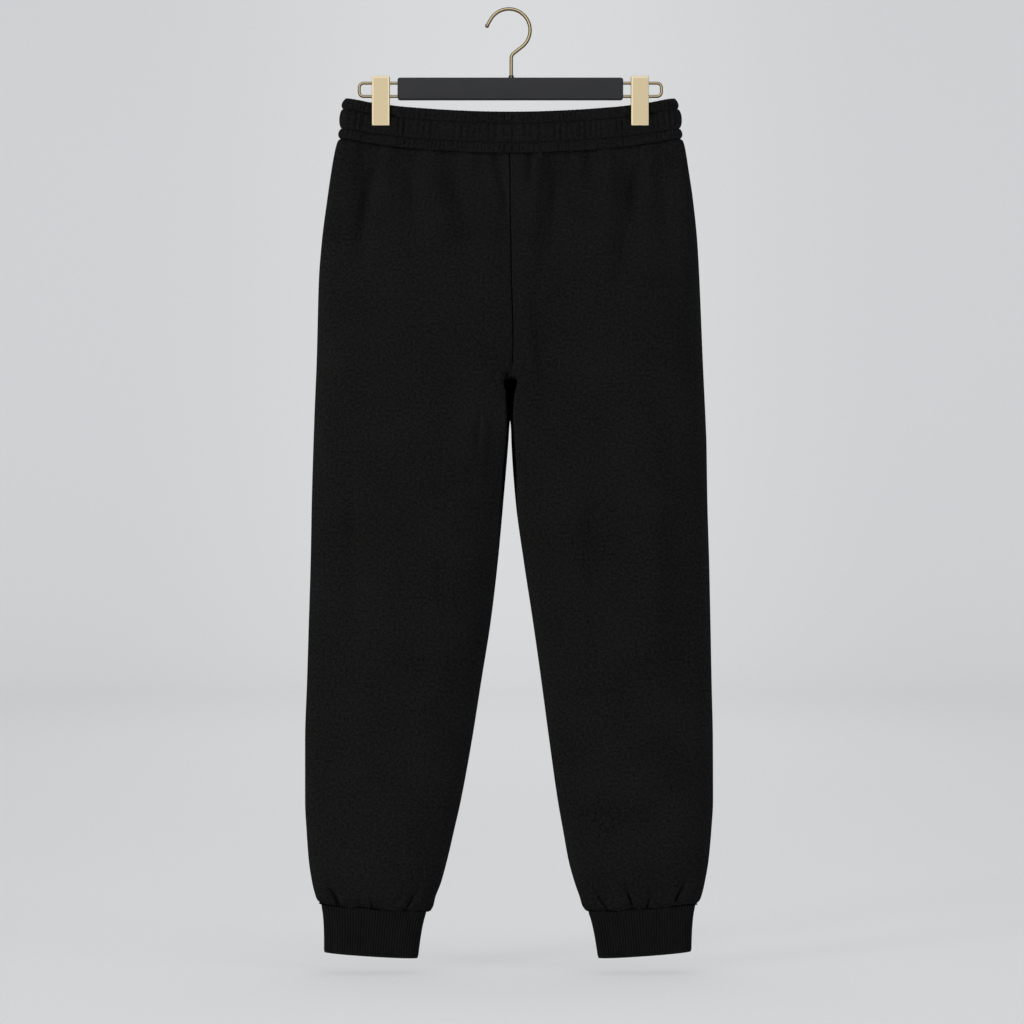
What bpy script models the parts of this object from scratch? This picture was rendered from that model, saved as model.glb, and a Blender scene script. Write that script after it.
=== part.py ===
"""Jogger sweatpants hung by the waistband from a two-clip bar hanger.

Metres, +Z up. The origin is the top of the hook's inside, where a rail carries it. The garment's
back faces -Y, and its left leg is on the -X side. Heights are given as distances below the origin.
"""

import math
from collections import namedtuple

import bmesh
import bpy
import numpy as np
from mathutils import Vector

MM = 0.001
COLLECTION = "jogger_sweatpants"

# Cloth.
SEAM_GAP = 0.3 * MM
FLEECE_WALL = 2.0 * MM
BAND_WALL = 3.0 * MM
RIB_WALL = 2.4 * MM

# Hanger.
BAR_LENGTH = 270 * MM
BAR_DEPTH = 12 * MM
BAR_TOP = 80.3 * MM
BAR_BOTTOM = 106.7 * MM
BAR_EDGE = 1.8 * MM
SOCKET_DEPTH = 9 * MM
SOCKET_CLEARANCE = 0.3 * MM
HOOK_WIRE = 2.2 * MM
HOOK_RADIUS = 24.8 * MM
HOOK_CENTRE = (-2.4 * MM, -22.6 * MM)
HOOK_TIP_ANGLE = 169
HOOK_TURN_ANGLE = -48
HOOK_NECK_RADIUS = 9 * MM
HOOK_STEM_X = 1.1 * MM
HOOK_BALL = 3.1 * MM
COLLAR_RADIUS = 3.6 * MM
COLLAR_HEIGHT = 2.6 * MM
LOOP_WIRE = 1.8 * MM
LOOP_END = 183.0 * MM
LOOP_TOP = 86.2 * MM
LOOP_BOTTOM = 102.1 * MM
LOOP_CORNER = 5.2 * MM
CLIP_X = 155.4 * MM
CLIP_WIDTH = 20.4 * MM
CLIP_TOP = 77.5 * MM
CLIP_BOTTOM = 137.5 * MM
CLIP_SLOT = 7.6 * MM
CLIP_LEAF = 2.0 * MM
CLIP_HEAD = 6.6 * MM
CLIP_EDGE = 1.4 * MM

# Trousers, a row for each section. Distances are in mm: down is the side edge's height, and the
# inner edge is lower by drop. Above the crotch the inner edges are the centre seams.
Section = namedtuple("Section", "down drop left_side left_inner right_inner right_side back front")
TROUSER_SECTIONS = (
    (153.2, 17.4, 206.6, 0.0, 0.0, 206.6, 17, 16),
    (164.0, 17.0, 210.0, 0.0, 0.0, 210.0, 22, 21),
    (190.0, 13.5, 214.8, 0.0, 0.0, 214.2, 30, 28),
    (227.0, 8.0, 220.0, 0.0, 0.0, 219.4, 39, 36),
    (275.0, 2.0, 226.0, 0.0, 0.0, 224.2, 48, 43),
    (323.0, 0.0, 229.6, 0.0, 0.0, 226.8, 54, 47),
    (419.0, 0.0, 232.2, 0.0, 0.0, 230.0, 54, 48),
    (487.0, 0.0, 235.0, 0.0, 0.0, 232.8, 52, 48),
    (515.0, 0.0, 235.8, 3.8, 2.0, 233.8, 50.5, 47.5),
    (587.0, 0.0, 238.0, 10.0, 6.8, 234.8, 46, 45),
    (659.0, 0.0, 239.2, 16.2, 16.0, 237.0, 41.5, 41.5),
    (731.0, 0.0, 241.6, 24.4, 27.0, 238.6, 37, 38),
    (803.0, 0.0, 244.0, 34.8, 37.4, 240.0, 35, 36),
    (875.0, 0.0, 246.4, 46.2, 46.8, 241.8, 33, 34),
    (947.0, 0.0, 246.4, 59.4, 57.0, 242.0, 32, 32),
    (983.0, 0.0, 244.2, 67.6, 63.4, 239.6, 31, 31),
    (1019.0, 1.0, 241.4, 76.2, 70.2, 236.2, 30, 30),
    (1043.0, 3.5, 237.8, 83.6, 77.6, 232.2, 28, 28),
    (1057.0, 6.0, 234.6, 90.0, 83.4, 229.2, 25, 25),
    (1065.5, 7.8, 230.6, 95.4, 88.0, 225.0, 21, 21),
    (1070.0, 8.8, 226.6, 100.8, 93.2, 220.4, 16, 16),
)
CROTCH_START = 405 * MM
CROTCH = 487 * MM
VALLEY_BREADTH = 26 * MM
LEG_ROUNDING = 150 * MM
WAIST_PULL_END = 330 * MM
TORSO_POWER = 2.7
LEG_POWER = 2.25
UPPER_ROWS = (153.2, 160.5, 171, 188, 210, 238, 270, 310, 357, 405)
CROTCH_ROW_COUNT = 6
LOWER_ROWS = (502, 530, 570, 615, 665, 720, 775, 830, 885, 935, 980, 1013, 1037, 1053, 1063, 1070)
BACK_COLUMNS = 17
FRONT_COLUMNS = 14
SIDE_CALM = 18 * MM

# Flattened ring of the waistband, mm: distance from the centre, and half the depth there where
# the clips pinch it and at the waist seam. The last row is the side.
RingPoint = namedtuple("RingPoint", "out at_clip at_seam")
WAIST_RING = (
    (0, 11.0, 14.0),
    (45, 10.4, 13.4),
    (90, 8.4, 11.4),
    (118, 6.2, 8.8),
    (138, 3.5, 5.8),
    (173, 3.5, 5.8),
    (184, 6.6, 8.4),
    (195, 8.4, 10.0),
    (203, 6.4, 7.4),
    (206.6, 0, 0),
)

# Waistband, a row for each stitch line, channel crown and edge, mm: height at the sides and at
# the centre, half the width, share of the waist seam's looser shape, crown and gather height.
BandRow = namedtuple("BandRow", "side centre half loose crown gather")
BAND_ROWS = (
    (106.2, 121.6, 198.6, 0.0, -0.6, 0.15),
    (111.4, 127.3, 202.0, 0.0, 0.5, 0.55),
    (117.6, 133.2, 202.4, 0.0, -0.7, 0.30),
    (129.2, 145.2, 206.0, 0.0, 1.2, 1.00),
    (140.4, 157.2, 204.0, 0.3, -0.7, 0.30),
    (146.7, 163.8, 206.8, 0.7, 0.6, 0.55),
    (152.9, 170.3, 206.2, 1.0, -0.5, 0.20),
)
BAND_GATHERS = 104
CLIP_CALM = (136 * MM, 176 * MM)

# Folds, mm, as seen from behind: top and foot, breadth, depth (a ridge is negative), and the
# share of the length at which each is deepest.
Fold = namedtuple("Fold", "x_top top x_foot foot breadth depth peak")
BACK_FOLDS = (
    (-174, 160, -187, 340, 12, 6.5, 0.20),
    (-120, 166, -104, 372, 12, 3.6, 0.20),
    (-74, 170, -42, 330, 12, 3.2, 0.25),
    (-10, 185, -4, 320, 9, 2.2, 0.30),
    (48, 170, 31, 385, 12, 4.6, 0.20),
    (98, 168, 92, 230, 10, 2.0, 0.35),
    (146, 160, 127, 390, 12, 4.6, 0.20),
    (179, 158, 194, 250, 11, 4.0, 0.25),
    (-36, 185, -12, 370, 11, -2.6, 0.50),
    (6, 290, 32, 470, 10, -2.6, 0.50),
    (-56, 360, -80, 640, 24, 6.0, 0.45),
    (30, 372, 52, 600, 20, 5.0, 0.40),
    (128, 380, 126, 620, 20, 2.4, 0.50),
    (-205, 700, -196, 900, 22, 1.8, 0.50),
    (-222, 1030, -206, 1072, 11, 2.4, 0.70),
    (-113, 1030, -126, 1076, 12, 2.4, 0.70),
    (99, 1030, 116, 1076, 12, 2.4, 0.70),
    (134, 1020, 146, 1072, 11, 2.6, 0.70),
    (214, 1020, 196, 1070, 12, 2.8, 0.70),
)
FRONT_FOLDS = (
    (-176, 160, -190, 300, 12, 6.0, 0.22),
    (-135, 166, -122, 345, 12, 3.8, 0.20),
    (-86, 170, -60, 300, 12, 3.0, 0.25),
    (-30, 172, -16, 350, 11, 2.6, 0.25),
    (40, 172, 22, 330, 12, 3.4, 0.25),
    (92, 168, 80, 372, 12, 4.0, 0.20),
    (150, 160, 134, 350, 12, 4.6, 0.20),
    (178, 158, 192, 280, 11, 4.4, 0.25),
    (-48, 380, -98, 520, 18, 4.2, 0.35),
    (52, 384, 104, 540, 18, 4.4, 0.35),
    (-132, 640, -118, 860, 26, 2.6, 0.50),
    (128, 600, 116, 840, 26, 2.8, 0.50),
    (-216, 1026, -200, 1072, 12, 2.6, 0.70),
    (-140, 1022, -150, 1074, 12, 2.6, 0.70),
    (122, 1026, 132, 1074, 12, 2.6, 0.70),
    (206, 1024, 190, 1070, 12, 2.6, 0.70),
)

# Cuffs, mm: side and inner edge from the centre line, top and hem, and their heights.
CuffEdge = namedtuple("CuffEdge", "side inner side_down inner_down depth")
LEFT_CUFF = ((225.2, 101.6, 1070.4, 1079.0, 14.5), (223.6, 110.6, 1127.9, 1135.1, 13.5))
RIGHT_CUFF = ((218.8, 94.4, 1070.4, 1079.0, 14.5), (215.6, 105.0, 1127.0, 1135.1, 13.5))
CUFF_RIBS = 78
CUFF_RIB_HEIGHT = 0.7 * MM
CUFF_POWER = 2.2

SAMPLES = 360

# Colours (sRGB hex), roughness and metallic value of each finish.
FLEECE = ("black fleece", "171717", 0.95, 0.0)
RIB = ("black rib knit", "131313", 0.95, 0.0)
BRASS = ("brushed brass", "C9B583", 0.35, 1.0)
BAR_PAINT = ("charcoal plastic", "3A3A3C", 0.45, 0.0)
DARK_STEEL = ("blackened steel", "1C1A18", 0.4, 0.8)


def clear_scene():
    """Removes whatever the scene holds."""
    for item in list(bpy.data.objects):
        bpy.data.objects.remove(item)


def collection(name):
    """A new collection linked to the scene."""
    found = bpy.data.collections.new(name)
    bpy.context.scene.collection.children.link(found)
    return found


def linear(channel):
    """The linear value of an sRGB channel from 0 to 1."""
    return channel / 12.92 if channel <= 0.04045 else ((channel + 0.055) / 1.055) ** 2.4


def dress(item, finish):
    """Gives an object a material of its own, from a finish's colour, roughness and metallic value."""
    title, code, roughness, metallic = finish
    made = bpy.data.materials.new(f"{title} {item.name}")
    made.use_nodes = True
    shader = made.node_tree.nodes["Principled BSDF"]
    colour = [linear(int(code[k : k + 2], 16) / 255) for k in (0, 2, 4)]
    shader.inputs["Base Color"].default_value = (*colour, 1)
    shader.inputs["Roughness"].default_value = roughness
    shader.inputs["Metallic"].default_value = metallic
    item.data.materials.clear()
    item.data.materials.append(made)


def put(item, where, finish=None):
    """Moves an object from the active collection to another one, and dresses it."""
    for old in list(item.users_collection):
        old.objects.unlink(item)
    where.objects.link(item)
    if finish:
        dress(item, finish)
    return item


def smooth_line(knots, values, at):
    """Values at some places of a smooth curve through the knots that never overshoots them."""
    knots, values = np.asarray(knots, float), np.asarray(values, float)
    step = np.diff(knots)
    rise = np.diff(values) / step
    before, after = rise[:-1], rise[1:]
    level = before * after <= 0
    mean = 2 * before * after / np.where(level, 1, before + after)
    slope = np.concatenate([rise[:1], np.where(level, 0, mean), rise[-1:]])
    at = np.clip(np.asarray(at, float), knots[0], knots[-1])
    cell = np.clip(np.searchsorted(knots, at) - 1, 0, len(step) - 1)
    share = (at - knots[cell]) / step[cell]
    low, high = values[cell], values[cell + 1]
    bend_low, bend_high = slope[cell] * step[cell], slope[cell + 1] * step[cell]
    back = 1 - share
    return (
        low * back**2 * (1 + 2 * share)
        + high * share**2 * (3 - 2 * share)
        + bend_low * share * back**2
        - bend_high * share**2 * back
    )


def ease(low, high, value):
    """A smooth step from 0 at low to 1 at high."""
    share = np.clip((value - low) / (high - low), 0, 1)
    return share * share * (3 - 2 * share)


def column(rows, kind, name):
    """A named column of a table whose rows are of one kind, in metres."""
    return np.array([getattr(kind(*row), name) for row in rows]) * MM


def section_value(name, down):
    """A column of the trousers' sections at a height between its rows."""
    knots = column(TROUSER_SECTIONS, Section, "down")
    return float(smooth_line(knots, column(TROUSER_SECTIONS, Section, name), down))


def even(curve, count=SAMPLES):
    """A curve's points, taken again at equal distances along it."""
    length = np.concatenate([[0], np.cumsum(np.linalg.norm(np.diff(curve, axis=0), axis=1))])
    at = np.linspace(0, length[-1], count + 1)
    return np.column_stack([np.interp(at, length, curve[:, k]) for k in range(2)])


def oval_arc(half, depth, power):
    """A quarter of a squared ellipse, from the side to the middle of its flat face."""
    angle = np.linspace(0, math.pi / 2, 4 * SAMPLES + 1)
    return even(np.column_stack([half * np.cos(angle), depth * np.sin(angle)]) * squareness(angle, power))


def squareness(angle, power):
    """How much further out than an ellipse's points a squared ellipse's are, at some angles."""
    reach = np.abs(np.cos(angle)) ** power + np.abs(np.sin(angle)) ** power
    return (reach ** (-1 / power))[:, None]


def trouser_arc(outer, inner, depth, down, valley):
    """A section of one leg panel from its side edge to its inner edge.

    Over the crotch it is half of a flat oval whose middle dips to the valley's share of the depth.
    Under it the dip reaches the inseam, and further down the section rounds into a tube.
    """
    angle = np.linspace(0, math.pi, 4 * SAMPLES + 1)
    out = (outer + inner) / 2 + (outer - inner) / 2 * np.cos(angle)
    oval = depth * np.maximum(1 - (out / outer) ** TORSO_POWER, 0) ** (1 / TORSO_POWER)
    apart = np.maximum(out**2 - inner**2, 0)
    dip = np.sqrt((apart + (valley * VALLEY_BREADTH) ** 2) / (apart + VALLEY_BREADTH**2))
    tube = depth * np.maximum(1 - np.abs(np.cos(angle)) ** LEG_POWER, 0) ** (1 / LEG_POWER)
    share = ease(CROTCH, CROTCH + LEG_ROUNDING, down)
    return even(np.column_stack([out, oval * dip * (1 - share) + tube * share]))


def waist_arc(half, loose):
    """A quarter of the waistband's ring, from the side to the centre."""
    out = column(WAIST_RING, RingPoint, "out")
    at_clip, at_seam = (column(WAIST_RING, RingPoint, name) for name in ("at_clip", "at_seam"))
    depth = at_clip * (1 - loose) + at_seam * loose
    knots = np.arange(-len(out) + 1, len(out))
    full_out = np.concatenate([out, out[-2::-1]])
    full_depth = np.concatenate([depth, -depth[-2::-1]])
    at = np.linspace(0, -len(out) + 1, 4 * SAMPLES + 1)
    points = np.column_stack([smooth_line(knots, full_out, at), smooth_line(knots, full_depth, at)])
    return even(points * (half / out[-1], 1))


def fold_push(folds, x, down):
    """How far the folds press the cloth inwards at some points."""
    push = np.zeros_like(x)
    for row in folds:
        fold = Fold(*(value * MM for value in row[:-1]), row[-1])
        share = (down - fold.top) / (fold.foot - fold.top)
        line = fold.x_top + (fold.x_foot - fold.x_top) * ease(0, 1, share)
        reach = np.where(share < fold.peak, share / fold.peak, (1 - share) / (1 - fold.peak))
        length = np.sin(math.pi / 2 * np.clip(reach, 0, 1)) ** 2
        push += fold.depth * length * np.exp(-(((x - line) / fold.breadth) ** 2))
    return push


def outward(curve, end_normal):
    """Unit normals of a quarter or half section, which leave its first end along +X."""
    along = np.gradient(curve, axis=0)
    normal = np.column_stack([-along[:, 1], along[:, 0]])
    normal *= -1
    normal /= np.maximum(np.linalg.norm(normal, axis=1), 1e-12)[:, None]
    normal[0] = (1, 0)
    normal[-1] = end_normal
    return normal


def trouser_section(side, face, down):
    """One leg panel's section, outer and inner wall, as (out from the centre, depth, height)."""
    leg = "left" if side < 0 else "right"
    outer, inner = (section_value(f"{leg}_{edge}", down) for edge in ("side", "inner"))
    depth, drop = section_value("back" if face < 0 else "front", down), section_value("drop", down)
    under = np.clip((down - CROTCH_START) / (CROTCH - CROTCH_START), 0, 1)
    lean = math.asin(under)
    waist = UPPER_ROWS[0] * MM
    pull = 1 - math.sin(math.pi / 2 * np.clip((down - waist) / (WAIST_PULL_END - waist), 0, 1))
    curve = trouser_arc(outer, inner, depth, down, 1 - under**2)
    if pull > 0:
        curve = (1 - pull) * curve + pull * waist_arc(outer, 1.0)
    end = (-math.sin(lean), math.cos(lean))
    share = (outer - curve[:, 0]) / (outer - inner)
    fall = share if down > CROTCH else 1 - (1 - share) ** 2
    height = down + drop * fall
    along = np.linspace(0, outer - inner, len(curve))
    inner_calm = ease(0, SIDE_CALM, along[::-1])
    calm = ease(0, SIDE_CALM, along) * (1 - math.sin(lean) * (1 - inner_calm))
    folds = BACK_FOLDS if face < 0 else FRONT_FOLDS
    push = fold_push(folds, side * curve[:, 0], height) * calm
    curve = curve - push[:, None] * outward(curve, end)
    wall = curve - FLEECE_WALL * outward(curve, end)
    return [np.column_stack([line, height]) for line in (curve, wall)]


def trouser_rows():
    """The heights of a leg panel's rows, closest where the centre seam turns under at the crotch."""
    turns = [math.sin(math.pi / 2 * k / CROTCH_ROW_COUNT) for k in range(1, CROTCH_ROW_COUNT + 1)]
    crotch = [CROTCH_START + (CROTCH - CROTCH_START) * turn for turn in turns]
    return [row * MM for row in UPPER_ROWS] + crotch + [row * MM for row in LOWER_ROWS]


def trouser_sheets(side, face, columns):
    """A leg panel's outer and inner sheets, rows of points."""
    sheets = ([], [])
    picked = np.linspace(0, SAMPLES, columns + 1).round().astype(int)
    for down in trouser_rows():
        for sheet, line in zip(sheets, trouser_section(side, face, down)):
            out, depth, height = line[picked].T
            sheet.append(
                np.column_stack([side * (out + SEAM_GAP / 2), face * (depth + SEAM_GAP / 2), -height])
            )
    return sheets


def strip(mesh, one, other):
    """Faces between two runs of vertices that start and end side by side."""
    i = j = 0
    while i < len(one) - 1 or j < len(other) - 1:
        if len(one) == len(other):
            mesh.faces.new((one[i], one[i + 1], other[j + 1], other[j]))
            i, j = i + 1, j + 1
        elif i * (len(other) - 1) <= j * (len(one) - 1) and i < len(one) - 1:
            mesh.faces.new((one[i], one[i + 1], other[j]))
            i += 1
        else:
            mesh.faces.new((one[i], other[j + 1], other[j]))
            j += 1


def cloth(name, outer, inner, ring, where, finish):
    """A closed body between an outer and an inner sheet, each a list of rows of points.

    A ring's rows go all the way round. The inner sheet may have fewer rows and columns.
    """
    mesh = bmesh.new()
    sheets = []
    for sheet in (outer, inner):
        rows = [[mesh.verts.new(point) for point in row] for row in sheet]
        sheets.append([row + row[:1] if ring else row for row in rows])
        for one, other in zip(sheets[-1], sheets[-1][1:]):
            strip(mesh, one, other)
    outer, inner = sheets
    strip(mesh, outer[0], inner[0])
    strip(mesh, outer[-1], inner[-1])
    if not ring:
        for end in (0, -1):
            strip(mesh, [row[end] for row in outer], [row[end] for row in inner])
    bmesh.ops.recalc_face_normals(mesh, faces=mesh.faces)
    data = bpy.data.meshes.new(name)
    mesh.to_mesh(data)
    mesh.free()
    data.shade_smooth()
    data.set_sharp_from_angle(angle=math.radians(50))
    return put(bpy.data.objects.new(name, data), where, finish)


def ring_line(quarters, count):
    """Points at equal distances round a ring, from the centre of the back and back to it."""
    line = quarters[::-1]
    half = np.concatenate([line * (1, -1), quarters[1:] * (1, 1)])
    whole = np.concatenate([half, (half[::-1] * (-1, 1))[1:]])
    return even(whole, count)


def pinched(x):
    """How free of a clip's grip the waistband is: 0 under a clip and 1 well away from it."""
    low, high = CLIP_CALM
    off = np.abs(x)
    return 1 - ease(low - 14 * MM, low, off) * (1 - ease(high, high + 8 * MM, off))


def band_line(row, inset, parts, wave):
    """One row of the waistband's points, set in from its crown, with gathers of a height."""
    base = waist_arc(row.half * MM, row.loose)
    crown = row.crown * MM * pinched(base[:, 0])
    rise = np.minimum(crown, 0) - inset if inset else crown
    line = ring_line(base + outward(base, (0, 1)) * rise[:, None], parts)
    across = np.gradient(line, axis=0)
    away = np.column_stack([across[:, 1], -across[:, 0]])
    away /= np.linalg.norm(away, axis=1)[:, None]
    sign = np.where(np.arange(len(line)) % 2, -1.0, 1.0)
    line = line + away * (sign * wave / 2 * pinched(line[:, 0]))[:, None]
    line[[0, -1], 0] = (SEAM_GAP / 2, -SEAM_GAP / 2)
    sag = 1 - np.clip(line[:, 0] / (row.half * MM), -1, 1) ** 2
    return np.column_stack([line, -(row.side + (row.centre - row.side) * sag) * MM])


def waistband(where):
    """The shirred waistband, one strip closed by a seam at the centre of the back.

    Its outside has every row and gather, and its inside is plain.
    """
    rows = [BandRow(*row) for row in BAND_ROWS]
    outer = [band_line(row, 0, 2 * BAND_GATHERS, row.gather * MM) for row in rows]
    plain = (rows[0], rows[len(rows) // 2], rows[-1])
    inner = [band_line(row, BAND_WALL, BAND_GATHERS, 0) for row in plain]
    return cloth("waistband", outer, inner, False, where, FLEECE)


def cuff_line(edge, side, inset, parts, rib):
    """One end of a cuff, all the way round, set in from its outside, with ribs of a height."""
    half, middle = (edge.side - edge.inner) / 2 * MM, (edge.side + edge.inner) / 2 * MM
    quarter = oval_arc(half, edge.depth * MM, CUFF_POWER)
    line = ring_line(quarter - outward(quarter, (0, 1)) * inset, parts)[:-1]
    ahead = np.roll(line, -1, axis=0) - np.roll(line, 1, axis=0)
    away = np.column_stack([ahead[:, 1], -ahead[:, 0]])
    away /= np.linalg.norm(away, axis=1)[:, None]
    line = line - away * (np.arange(len(line)) % 2 * rib)[:, None]
    share = (line[:, 0] + half) / (2 * half)
    height = (edge.inner_down + (edge.side_down - edge.inner_down) * share) * MM
    return np.column_stack([side * (middle + line[:, 0]), line[:, 1], -height])


def cuff(name, side, edges, where):
    """A rib tube: ribs are raised in the outer points, over a plain inside."""
    ends = [CuffEdge(*row) for row in edges]
    outer = [cuff_line(edge, side, 0, 2 * CUFF_RIBS, CUFF_RIB_HEIGHT) for edge in ends]
    inner = [cuff_line(edge, side, RIB_WALL, CUFF_RIBS, 0) for edge in ends]
    return cloth(name, outer, inner, True, where, RIB)


def block(name, low, high, edge=0):
    """A box between two corners, with its edges chamfered by a live Bevel."""
    centre = [(a + b) / 2 for a, b in zip(low, high)]
    bpy.ops.mesh.primitive_cube_add(size=1, location=centre)
    item = bpy.context.object
    item.name = item.data.name = name
    for vertex in item.data.vertices:
        vertex.co = [c * (b - a) for c, a, b in zip(vertex.co, low, high)]
    if edge:
        bevel = item.modifiers.new("edges", "BEVEL")
        bevel.width = edge
        bevel.segments = 2
    return item


def cut(item, cutter):
    """Cuts a live Boolean out of an object."""
    hole = item.modifiers.new(cutter.name, "BOOLEAN")
    hole.operation = "DIFFERENCE"
    hole.solver = "EXACT"
    hole.object = cutter


def as_cutter(item, where):
    """Keeps a cutter out of the renders, as a wire shape in its own collection."""
    put(item, where)
    item.hide_render = True
    item.display_type = "WIRE"
    return item


def wire(name, points, radius, where, finish, swell=(), sides=2):
    """A round wire along some points, with closed ends. Swell gives points their share of the radius."""
    data = bpy.data.curves.new(name, "CURVE")
    data.dimensions = "3D"
    data.bevel_depth = radius
    data.bevel_resolution = sides
    data.use_fill_caps = True
    run = data.splines.new("POLY")
    run.points.add(len(points) - 1)
    for k, point in enumerate(points):
        run.points[k].co = (*point, 1)
        run.points[k].radius = swell[k] if swell else 1
    return put(bpy.data.objects.new(name, data), where, finish)


def arc(centre, radius, start, stop, count):
    """Points of an arc in the XZ plane, from one angle to another in degrees."""
    angles = np.radians(np.linspace(start, stop, count))
    return [(centre[0] + radius * math.cos(a), 0, centre[1] + radius * math.sin(a)) for a in angles]


def hook(where):
    """The hook: a ball at its tip, a large arc, a straight and a neck that turns down into the bar."""
    bow = arc(HOOK_CENTRE, HOOK_RADIUS, HOOK_TIP_ANGLE, HOOK_TURN_ANGLE, 27)
    tip = Vector(bow[0])
    back = (tip - Vector(bow[1])).normalized()
    ball_steps = [math.radians(18 * k) for k in range(8)]
    ball = [tip + back * HOOK_BALL * math.cos(step) for step in ball_steps]
    swell = [max(math.sin(step) * HOOK_BALL / HOOK_WIRE, 0.15) for step in ball_steps]
    turn = math.radians(HOOK_TURN_ANGLE)
    neck_x = HOOK_STEM_X + HOOK_NECK_RADIUS * (1 - math.cos(turn))
    neck_z = bow[-1][2] + (bow[-1][0] - neck_x) / math.tan(turn)
    centre = (HOOK_STEM_X + HOOK_NECK_RADIUS, neck_z + HOOK_NECK_RADIUS * math.sin(turn))
    neck = arc(centre, HOOK_NECK_RADIUS, 180 + HOOK_TURN_ANGLE, 180, 6)
    foot = (HOOK_STEM_X, 0, -BAR_TOP - SOCKET_DEPTH + SOCKET_CLEARANCE)
    points = [tuple(point) for point in ball] + bow[1:] + neck + [foot]
    shares = swell + [1] * (len(points) - len(swell))
    return wire("hanger_hook", points, HOOK_WIRE, where, BRASS, shares, 3)


def collar(where, hole):
    """The dark ring round the hook's foot, standing on the bar."""
    half = COLLAR_HEIGHT / 2
    place = (HOOK_STEM_X, 0, -BAR_TOP + SEAM_GAP + half)
    size = {"radius": COLLAR_RADIUS, "depth": COLLAR_HEIGHT}
    bpy.ops.mesh.primitive_cylinder_add(vertices=24, location=place, **size)
    ring = put(bpy.context.object, where, DARK_STEEL)
    ring.name = ring.data.name = "hook_collar"
    cut(ring, hole)
    return ring


def socket(name, place, turned, radius, where):
    """A round cutter along Z, or along X if turned."""
    bpy.ops.mesh.primitive_cylinder_add(vertices=16, radius=radius, depth=2 * SOCKET_DEPTH, location=place)
    cutter = as_cutter(bpy.context.object, where)
    cutter.name = name
    if turned:
        cutter.rotation_euler = (0, math.radians(90), 0)
    return cutter


def bar(where, cutters):
    """The bar, with sockets for the hook's foot and the wires' ends, and the collar on the first."""
    low = (-BAR_LENGTH / 2, -BAR_DEPTH / 2, -BAR_BOTTOM)
    high = (BAR_LENGTH / 2, BAR_DEPTH / 2, -BAR_TOP)
    item = put(block("hanger_bar", low, high, BAR_EDGE), where, BAR_PAINT)
    hole = socket("hook socket", (HOOK_STEM_X, 0, -BAR_TOP), False, HOOK_WIRE + SOCKET_CLEARANCE, cutters)
    cut(item, hole)
    collar(where, hole)
    for side in (-1, 1):
        for down in (LOOP_TOP, LOOP_BOTTOM):
            place = (side * BAR_LENGTH / 2, 0, -down)
            name = f"wire socket {side} {down:.3f}"
            cut(item, socket(name, place, True, LOOP_WIRE + SOCKET_CLEARANCE, cutters))
    return item


def loop(name, side, where):
    """The wire loop at one end of the bar, both ends set in the bar."""
    root = BAR_LENGTH / 2 - SOCKET_DEPTH + SOCKET_CLEARANCE
    bend = LOOP_END - LOOP_WIRE - LOOP_CORNER
    upper = arc((bend, -LOOP_TOP - LOOP_CORNER), LOOP_CORNER, 90, 0, 6)
    lower = arc((bend, -LOOP_BOTTOM + LOOP_CORNER), LOOP_CORNER, 0, -90, 6)
    run = [(root, 0, -LOOP_TOP), *upper, *lower, (root, 0, -LOOP_BOTTOM)]
    return wire(name, [(side * x, y, z) for x, y, z in run], LOOP_WIRE, where, BRASS)


def clip(name, side, where, cutters):
    """A folded clip: a head over the wires and two leaves that grip the waistband."""
    deep = CLIP_SLOT / 2 + CLIP_LEAF
    left, right = side * CLIP_X - CLIP_WIDTH / 2, side * CLIP_X + CLIP_WIDTH / 2
    item = put(block(name, (left, -deep, -CLIP_BOTTOM), (right, deep, -CLIP_TOP), CLIP_EDGE), where, BRASS)
    slot_low = (left - CLIP_LEAF, -CLIP_SLOT / 2, -CLIP_BOTTOM - CLIP_LEAF)
    slot_high = (right + CLIP_LEAF, CLIP_SLOT / 2, -CLIP_TOP - CLIP_HEAD)
    cut(item, as_cutter(block(f"slot {name}", slot_low, slot_high), cutters))
    return item


def main():
    """Builds the garment and its hanger."""
    clear_scene()
    parts = collection(COLLECTION)
    cutters = collection("cutters")
    for face, title, columns in ((-1, "back", BACK_COLUMNS), (1, "front", FRONT_COLUMNS)):
        for side, leg in ((-1, "left"), (1, "right")):
            sheets = trouser_sheets(side, face, columns)
            cloth(f"trouser_{title}_{leg}", *sheets, False, parts, FLEECE)
    waistband(parts)
    cuff("cuff_left", -1, LEFT_CUFF, parts)
    cuff("cuff_right", 1, RIGHT_CUFF, parts)
    bar(parts, cutters)
    hook(parts)
    for side, end in ((-1, "left"), (1, "right")):
        loop(f"hanger_loop_{end}", side, parts)
        clip(f"clip_{end}", side, parts, cutters)


main()
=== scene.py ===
import logging
import math
from dataclasses import dataclass
from enum import Enum
from typing import NamedTuple

import bmesh
import bpy
import numpy as np
from bmesh.types import BMEdge, BMesh, BMFace, BMVert
from bpy.types import Material, Node, NodeSocket, NodeTree, Object
from mathutils import Matrix, Vector


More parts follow.
